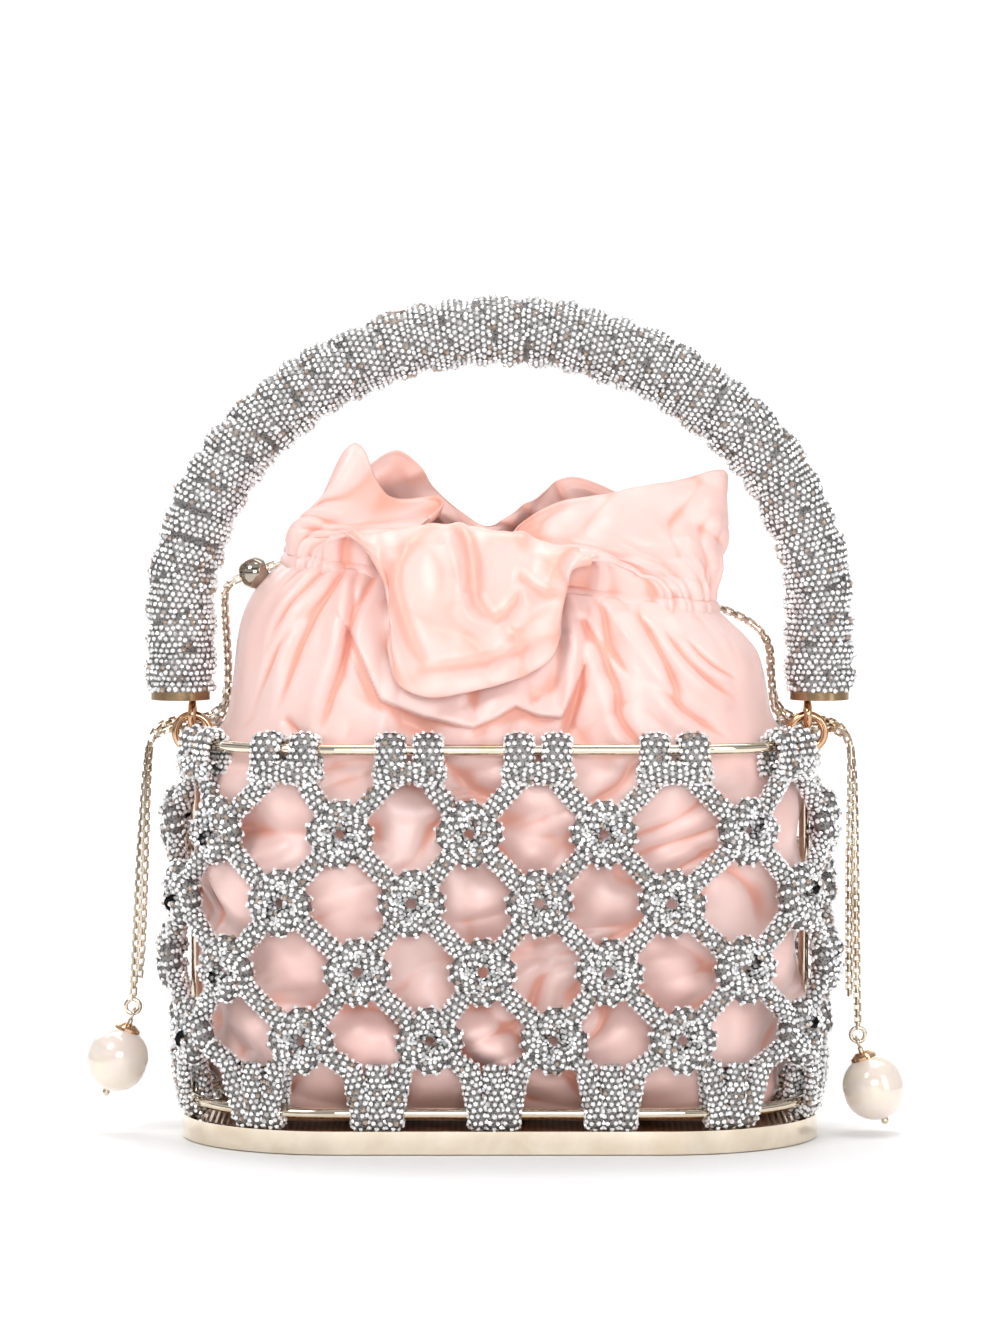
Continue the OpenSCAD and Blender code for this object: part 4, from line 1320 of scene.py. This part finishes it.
@dataclass
class Pouch:
    """The satin drawstring pouch: sagging bag, gathered channel and flopping collar. Sizes are in mm.

    Attributes:
        palette: the finishes.
        cage: what the bag lies against.
        columns: how many points go round it.
        rows: how many go up the bag.
        collar_rows: how many go up the collar.
        tilt: how far the neck leans, as a slope.
        neck_z: the height of the neck's middle.
        neck_half: half the length of the gathered neck.
        neck_r: half its depth.
        half_thick: half the thickness of the cloth.
        tag_slope: how fast the painted shade in a fold deepens.
    """

    palette: Palette
    cage: Cage
    columns: int = 720
    rows: int = 300
    collar_rows: int = 110
    tilt: float = -0.11
    neck_z: float = 147.0
    neck_half: float = 57.0
    neck_r: float = 23.0
    half_thick: float = 0.22
    tag_slope: float = 5.2

    def levels(self, z: np.ndarray) -> tuple[np.ndarray, np.ndarray]:
        """Returns the bag's half straight length and its radius at height z before it is tilted."""
        heights = [6.4, 8.5, 14, 22, 40, 75, 92, 105, 112, 120, 130, 137, 142, 146, 148]
        straight = [43, 43, 43, 43, 43, 43, 43, 43, 39.5, 38.6, 38.4, 38, 36.5, 34.6, 34]
        radius = [24, 27.5, 32, 35.2, 36.4, 36.6, 35.6, 33.9, 32.6, 32.2, 31.4, 29.2, 26.4, 23.4, 22.2]
        reach = np.minimum(3.0, np.minimum(z - heights[0], heights[-1] - z))
        near = [z + share * reach for share in (-1.0, -0.5, 0.0, 0.5, 1.0)]
        return (sum(np.interp(at, heights, straight) for at in near) / len(near),
                sum(np.interp(at, heights, radius) for at in near) / len(near))

    def gathers(self, u: np.ndarray, z: np.ndarray) -> np.ndarray:
        """Returns how far the folds stand out at u (0 to 1 round) and height z, from about -1 to 1."""
        warp = u + 0.004 * np.sin(z / 9.0 + 9 * u * 2 * math.pi) + 0.003 * np.sin(z / 5.0 + 40 * u)
        total = np.zeros(np.broadcast(u, z).shape)
        tones = ((23, 0.42, 0.3), (31, 0.32, 1.9), (47, 0.22, 4.4), (13, 0.34, 2.2), (67, 0.1, 0.9))
        for waves, share, phase in tones:
            total = total + share * np.sin(2 * math.pi * waves * warp + phase)
        return total

    def body(self) -> np.ndarray:
        """Returns the bag's points by row and column."""
        z = np.concatenate([[6.4, 6.4, 6.4], np.linspace(6.6, 147.5, self.rows)])[:, None]
        shrink = np.concatenate([[0.02, 0.35, 0.75], np.ones(self.rows)])[:, None]
        u = (np.arange(self.columns) / self.columns)[None]
        s = u * self.cage.perimeter
        straight, radius = self.levels(z)
        centre, angle = self.cage.seat(s)
        ratio = straight / self.cage.straight
        neck = np.clip((z - 108) / 36, 0, 1)
        drape = np.clip((z - 100) / 12, 0, 1) * (1 - 0.3 * neck)
        ends = np.clip((np.abs(centre) - 30) / 12, 0, 1)
        inner = 1 - 0.75 * ends
        soft = self.gathers(u, z)
        out = (0.5 + 1.3 * neck**1.5) * soft * inner
        low = np.clip((106 - z) / 8, 0, 1)
        out = out + 2.6 * drape * (self.billow(u, z, 17, 26, 0.55, 3) - 0.45) * (1 - 0.85 * ends)
        out = out + 1.1 * drape * (self.billow(u, z, 34, 15, -0.8, 4) - 0.45) * inner
        out = out + self.bulges(s, z) * low
        out = out + low * 4.2 * (self.billow(u, z, 15, 24, 0.9, 5) - 0.55)
        out = out + low * 1.5 * (self.billow(u, z, 32, 11, -1.1, 6) - 0.5)
        front = np.where(s > self.cage.perimeter / 2, s - self.cage.perimeter, s) * np.ones_like(z)
        near = np.clip((84 - np.abs(front)) / 16, 0, 1)
        out = out + self.creases(front * ratio, z * np.ones_like(front)) * near
        r = (radius + out) * shrink
        x = centre * ratio * shrink + r * np.cos(angle)
        y = r * np.sin(angle)
        lean = np.clip((z - 112) / 32, 0, 1)
        return np.stack(np.broadcast_arrays(x, y, z + self.tilt * x * lean), -1)

    @staticmethod
    def billow(u: np.ndarray, z: np.ndarray, cells: int, rise: float, slant: float, seed: int) -> np.ndarray:
        """Returns soft swells between sharp valleys, from 0 to about 1.

        Args:
            u: the share of the way round, from 0 to 1.
            z: the height in mm.
            cells: how many swells go round.
            rise: how tall a swell is in mm.
            slant: how many swells the pattern shifts for each one it rises.
            seed: which pattern.
        """
        table = np.random.default_rng(seed).uniform(-1, 1, (64, cells))
        y = np.broadcast_to(z / rise + 20, np.broadcast(u, z).shape)
        x = u * cells + slant * (y - 20) + 0.35 * np.sin(y * 2.1 + 2 * math.pi * u * 3)
        i, j = np.floor(x).astype(int), np.floor(y).astype(int)
        fx, fy = x - i, y - j
        fx, fy = fx * fx * (3 - 2 * fx), fy * fy * (3 - 2 * fy)
        left, right = np.mod(i, cells), np.mod(i + 1, cells)
        rows = np.mod([j, j + 1], len(table))
        low, high = (table[row, left] * (1 - fx) + table[row, right] * fx for row in rows)
        value = low * (1 - fy) + high * fy
        return np.sqrt(value * value * 2.4 + 0.012)

    @staticmethod
    def creases(x: np.ndarray, z: np.ndarray) -> np.ndarray:
        """Returns the front's own folds: the drawn ones, and the swag under the collar."""
        total = Pouch.lines(x, z, CREASES)
        across = [-46, -38, -31, -20, -7, -1, 4, 10, 16, 22]
        edge = np.interp(x, across, [140, 131, 117, 113, 110.5, 113, 116, 113.5, 113, 128])
        inside = np.clip((x + 44) / 7, 0, 1) * np.clip((24 - x) / 6, 0, 1)
        above = np.clip((z - edge) / 1.3, 0, 1)
        fade = np.exp(-np.clip(z - edge, 0, None) / 16)
        return total + inside * 3.6 * above * above * (3 - 2 * above) * fade

    @staticmethod
    def lines(x: np.ndarray, z: np.ndarray, drawn: tuple) -> np.ndarray:
        """Returns the depth of drawn folds, each a valley with a swell on one side.

        Args:
            x: places across, in mm.
            z: heights, in mm.
            drawn: each fold's two ends, its depth and its width.

        Returns:
            How far out each place moves.
        """
        total = np.zeros(np.broadcast(x, z).shape)
        for x0, z0, x1, z1, depth, width in drawn:
            dx, dz = x1 - x0, z1 - z0
            span = math.hypot(dx, dz)
            t = ((x - x0) * dx + (z - z0) * dz) / span**2
            bow = 1.6 * np.sin(math.pi * np.clip(t, 0, 1)) * (1 if depth > 2 else -1)
            off = ((x - x0) * dz - (z - z0) * dx) / span + bow
            fade = np.clip((t + 0.15) / 0.3, 0, 1) * np.clip((1.15 - t) / 0.45, 0, 1)
            valley = -depth * np.exp(-((off / width) ** 2))
            swell = 0.75 * depth * np.exp(-(((off - 2.3 * width) / (1.7 * width)) ** 2))
            total = total + fade * (valley + swell)
        return total

    def bulges(self, s: np.ndarray, z: np.ndarray) -> np.ndarray:
        """Returns how far the bag swells through the openings of the net."""
        total = np.zeros(np.broadcast(s, z).shape)
        cage = self.cage
        for row in range(1, 5):
            for k in range(cage.columns):
                s0 = cage.knot_s(row, k) + cage.pitch / 2
                gap = np.abs(np.mod(s - s0 + cage.perimeter / 2, cage.perimeter) - cage.perimeter / 2)
                total = total + 2.4 * np.exp(-((gap / 8.6) ** 2) - ((z - cage.knot_z(row)) / 9.5) ** 2)
        return np.minimum(total, 2.8)

    def build(self) -> None:
        """Makes the bag, the channel and the collar."""
        self.piece("satin_bag", self.body(), ("pouch_body",), 0.0)
        self.collar()

    def collar(self) -> None:
        """Makes the collar above the channel, which stands at its ends and falls forward at the front."""
        turn = np.array([p.turn for p in PETALS], float)
        hems = np.array([p.hem for p in PETALS], float)
        rises = np.array([p.rise for p in PETALS], float)
        falls = np.array([p.fall for p in PETALS], float)
        a = np.radians(turn)
        base = self.ellipse(a)
        outward = unit(np.column_stack([np.cos(a) * 0.5, np.sin(a), 0 * a]))
        second = base + np.column_stack([0 * a, 0 * a, rises]) + outward * 0.8
        third = hems + np.column_stack([0 * a, 0 * a, falls[:, 1]]) + outward * falls[:, :1]
        count = self.columns
        stacked = np.concatenate([base, second, third, hems], axis=1)
        ring = curve(stacked, count, closed=True)
        p0, p1, p2, p3 = (ring[None, :, 3 * k : 3 * k + 3] for k in range(4))
        t = np.linspace(0, 1, self.collar_rows)[:, None, None]
        points = (1 - t) ** 3 * p0 + 3 * (1 - t) ** 2 * t * p1 + 3 * (1 - t) * t**2 * p2 + t**3 * p3
        u = (np.arange(count) / count)[None]
        pleat = self.gathers(u, 144.0 + 14 * t[:, :, 0])
        tangent_u = np.roll(points, -2, 1) - np.roll(points, 2, 1)
        tangent_v = np.gradient(points, axis=0)
        normal = unit(np.cross(tangent_u, tangent_v))
        fade = (1 - t[:, :, 0]) ** 1.6
        share = t[:, :, 0]
        crumple = 2.3 * (self.billow(u, share * 30, 21, 17, 0.6, 11) - 0.5)
        crumple = crumple + 1.0 * (self.billow(u, share * 30, 41, 9, -0.9, 12) - 0.5)
        ripple = 0.35 * np.sin(2 * math.pi * 9 * u + 7 * share)
        ripple = ripple + 0.25 * np.sin(2 * math.pi * 17 * u - 9 * share)
        crumple = crumple * np.clip(share * 4, 0, 1) * (1 - 0.3 * share)
        points = points + normal * (pleat * (0.12 + 1.15 * fade) + ripple + crumple)[..., None]
        facing = np.clip((-18 - points[..., 1]) / 6, 0, 1)
        points = points + normal * (self.lines(points[..., 0], points[..., 2], SCROLL) * facing)[..., None]
        points = np.concatenate([self.channel(p0[0], pleat[0]), points])
        self.piece("satin_collar", points, ("pouch_channel", "pouch_ruffle"), 0.02, 0.3)

    def channel(self, top: np.ndarray, pleat: np.ndarray) -> np.ndarray:
        """Returns the rows of the gathered drawstring channel, up to the line where the collar starts."""
        v = np.linspace(0, 1, 20)[:-1, None]
        way = unit(np.cross(np.roll(top, -2, 0) - np.roll(top, 2, 0), [0, 0, 1.0]))
        ends = np.clip((np.abs(top[:, 0]) - 50) / 5, 0, 1)
        out = 1.6 * np.sin(math.pi * v) ** 0.7 + pleat * (1.0 + 0.3 * np.sin(math.pi * v)) * (1 - 0.7 * ends)
        drop = np.array([0, 0, 1.0]) * (5.0 * (1 - v))[..., None]
        return top[None] + way[None] * (out - 0.3)[..., None] - drop

    def ellipse(self, a: np.ndarray) -> np.ndarray:
        """Returns points on the top of the channel at these angles."""
        x = self.neck_r * np.cos(a) + (self.neck_half - self.neck_r) * np.clip(2.2 * np.cos(a), -1, 1)
        y = self.neck_r * np.sin(a)
        return np.column_stack([x, y, self.neck_z + 2.2 + self.tilt * x])

    def piece(
        self, name: str, points: np.ndarray, nodes: tuple, blush: float, hem: float = 0.0
    ) -> bpy.types.Object:
        """Makes a closed thin shell of satin from rows of points that run round.

        Args:
            name: its name.
            points: its points by row and column, in mm.
            nodes: the CAD nodes it stands for.
            blush: how far towards the painted shade colour its colour starts.
            hem: how thick the rolled hem is, in mm.

        Returns:
            The piece.
        """
        rows, columns = points.shape[:2]
        along = np.roll(points, -1, 1) - np.roll(points, 1, 1)
        up = np.gradient(points, axis=0)
        normal = unit(np.cross(along, up))
        # the fold tag marks where the satin paints shade, deeper in creases
        fold = self.folds(points, normal)
        thick = np.full((rows, 1, 1), self.half_thick)
        if hem:
            thick[-4:, 0, 0] = [0.3, hem + 0.1, hem + 0.15, hem * 0.6]
        outer, inner = points + normal * thick, points - normal * thick
        sheets = Sheets()
        faces = grid_faces(rows, columns)
        both = np.concatenate([outer.reshape(-1, 3), inner.reshape(-1, 3)])
        # painted shade: the inner faces take 0.6 of the fold tag plus 0.12 more, so the insides are painted
        # deeper than the outsides
        tags = np.clip(np.concatenate([fold.ravel(), 0.6 * fold.ravel() + 0.12]) + blush, 0, 1)
        sheets.add(both, faces, 0, True, tags)
        sheets.again(0, faces[:, ::-1] + rows * columns, 0, True)
        j = np.arange(columns)
        k = (j + 1) % columns
        for low, order in ((0, -1), ((rows - 1) * columns, 1)):
            high = low + rows * columns
            rim = np.stack([low + j, low + k, high + k, high + j], -1)
            sheets.again(0, rim[:, ::order], 0, True)
        piece = sheets.make(name, [self.palette.of(SATIN)], "fold")
        attach(piece, Rider.FRAME, Slot.SATIN, *nodes)
        return piece

    def folds(self, points: np.ndarray, normal: np.ndarray) -> np.ndarray:
        """Returns how deep in a fold each point lies, 0 on swells and 1 in a crease; the satin paints its
        shade colour by it.
        """
        total = np.zeros(points.shape[:2])
        row = np.arange(len(points))
        for reach, share in ((3, 0.4), (7, 0.6), (14, 0.5)):
            across = (np.roll(points, reach, 1) + np.roll(points, -reach, 1)) / 2 - points
            ends = points[np.maximum(row - reach, 0)] + points[np.minimum(row + reach, len(points) - 1)]
            total = total + share * ((across + 0.6 * (ends / 2 - points)) * normal).sum(-1) / reach
        return np.clip(total * self.tag_slope - 0.04, 0, 0.85)


# ------------------------------------------------------------ carried-over parts


@dataclass
class Metalwork:
    """The parts whose shape comes straight from the frame, each given its finish.

    Attributes:
        palette: the finishes.
    """

    palette: Palette

    def build(self) -> None:
        """Gives every part that is left its material."""
        finishes = {
            GOLD: ["base_band", "lower_ring", "upper_ring"]
            + [f"strut_{x}_{y}" for x in ("left", "right") for y in ("front", "back")],
            COPPER_GOLD: ["hinge_loop_left", "hinge_loop_right", "handle_eye_left", "handle_eye_right",
                          "bead_cap_left", "bead_cap_right"],
            DARK_GOLD: ["handle_cap_left", "handle_cap_right"],
            STOPPER_GOLD: ["stopper_ball"],
            CHAIN_GOLD: ["chain_end_left", "chain_end_right", "pearl_pin_left", "pearl_pin_right"],
            RibbedFloor(): ["base_plate"],
            NACRE: ["pearl_left", "pearl_right"],
        }
        for finish, nodes in finishes.items():
            for node in nodes:
                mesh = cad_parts[node].data
                mesh.materials.clear()
                mesh.materials.append(self.palette.of(finish))
                LOG.info("%s finished in %s", node, finish.name)


def main() -> None:
    """Builds the basket in order: camera, chains, net, handle, pouch, metal, then the studio."""
    logging.basicConfig(level=logging.INFO, format="%(name)s: %(message)s")
    palette = Palette()
    cage = Cage()
    studio = Studio(palette)
    studio.camera()
    builders = {
        "chains": BoxChain(palette), "net": Net(palette, cage), "handle": RibbonHandle(palette),
        "pouch": Pouch(palette, cage), "metalwork": Metalwork(palette), "studio": studio,
    }
    for name, builder in builders.items():
        builder.build()
        LOG.info("%s done", name)


if __name__ == "__main__":
    main()
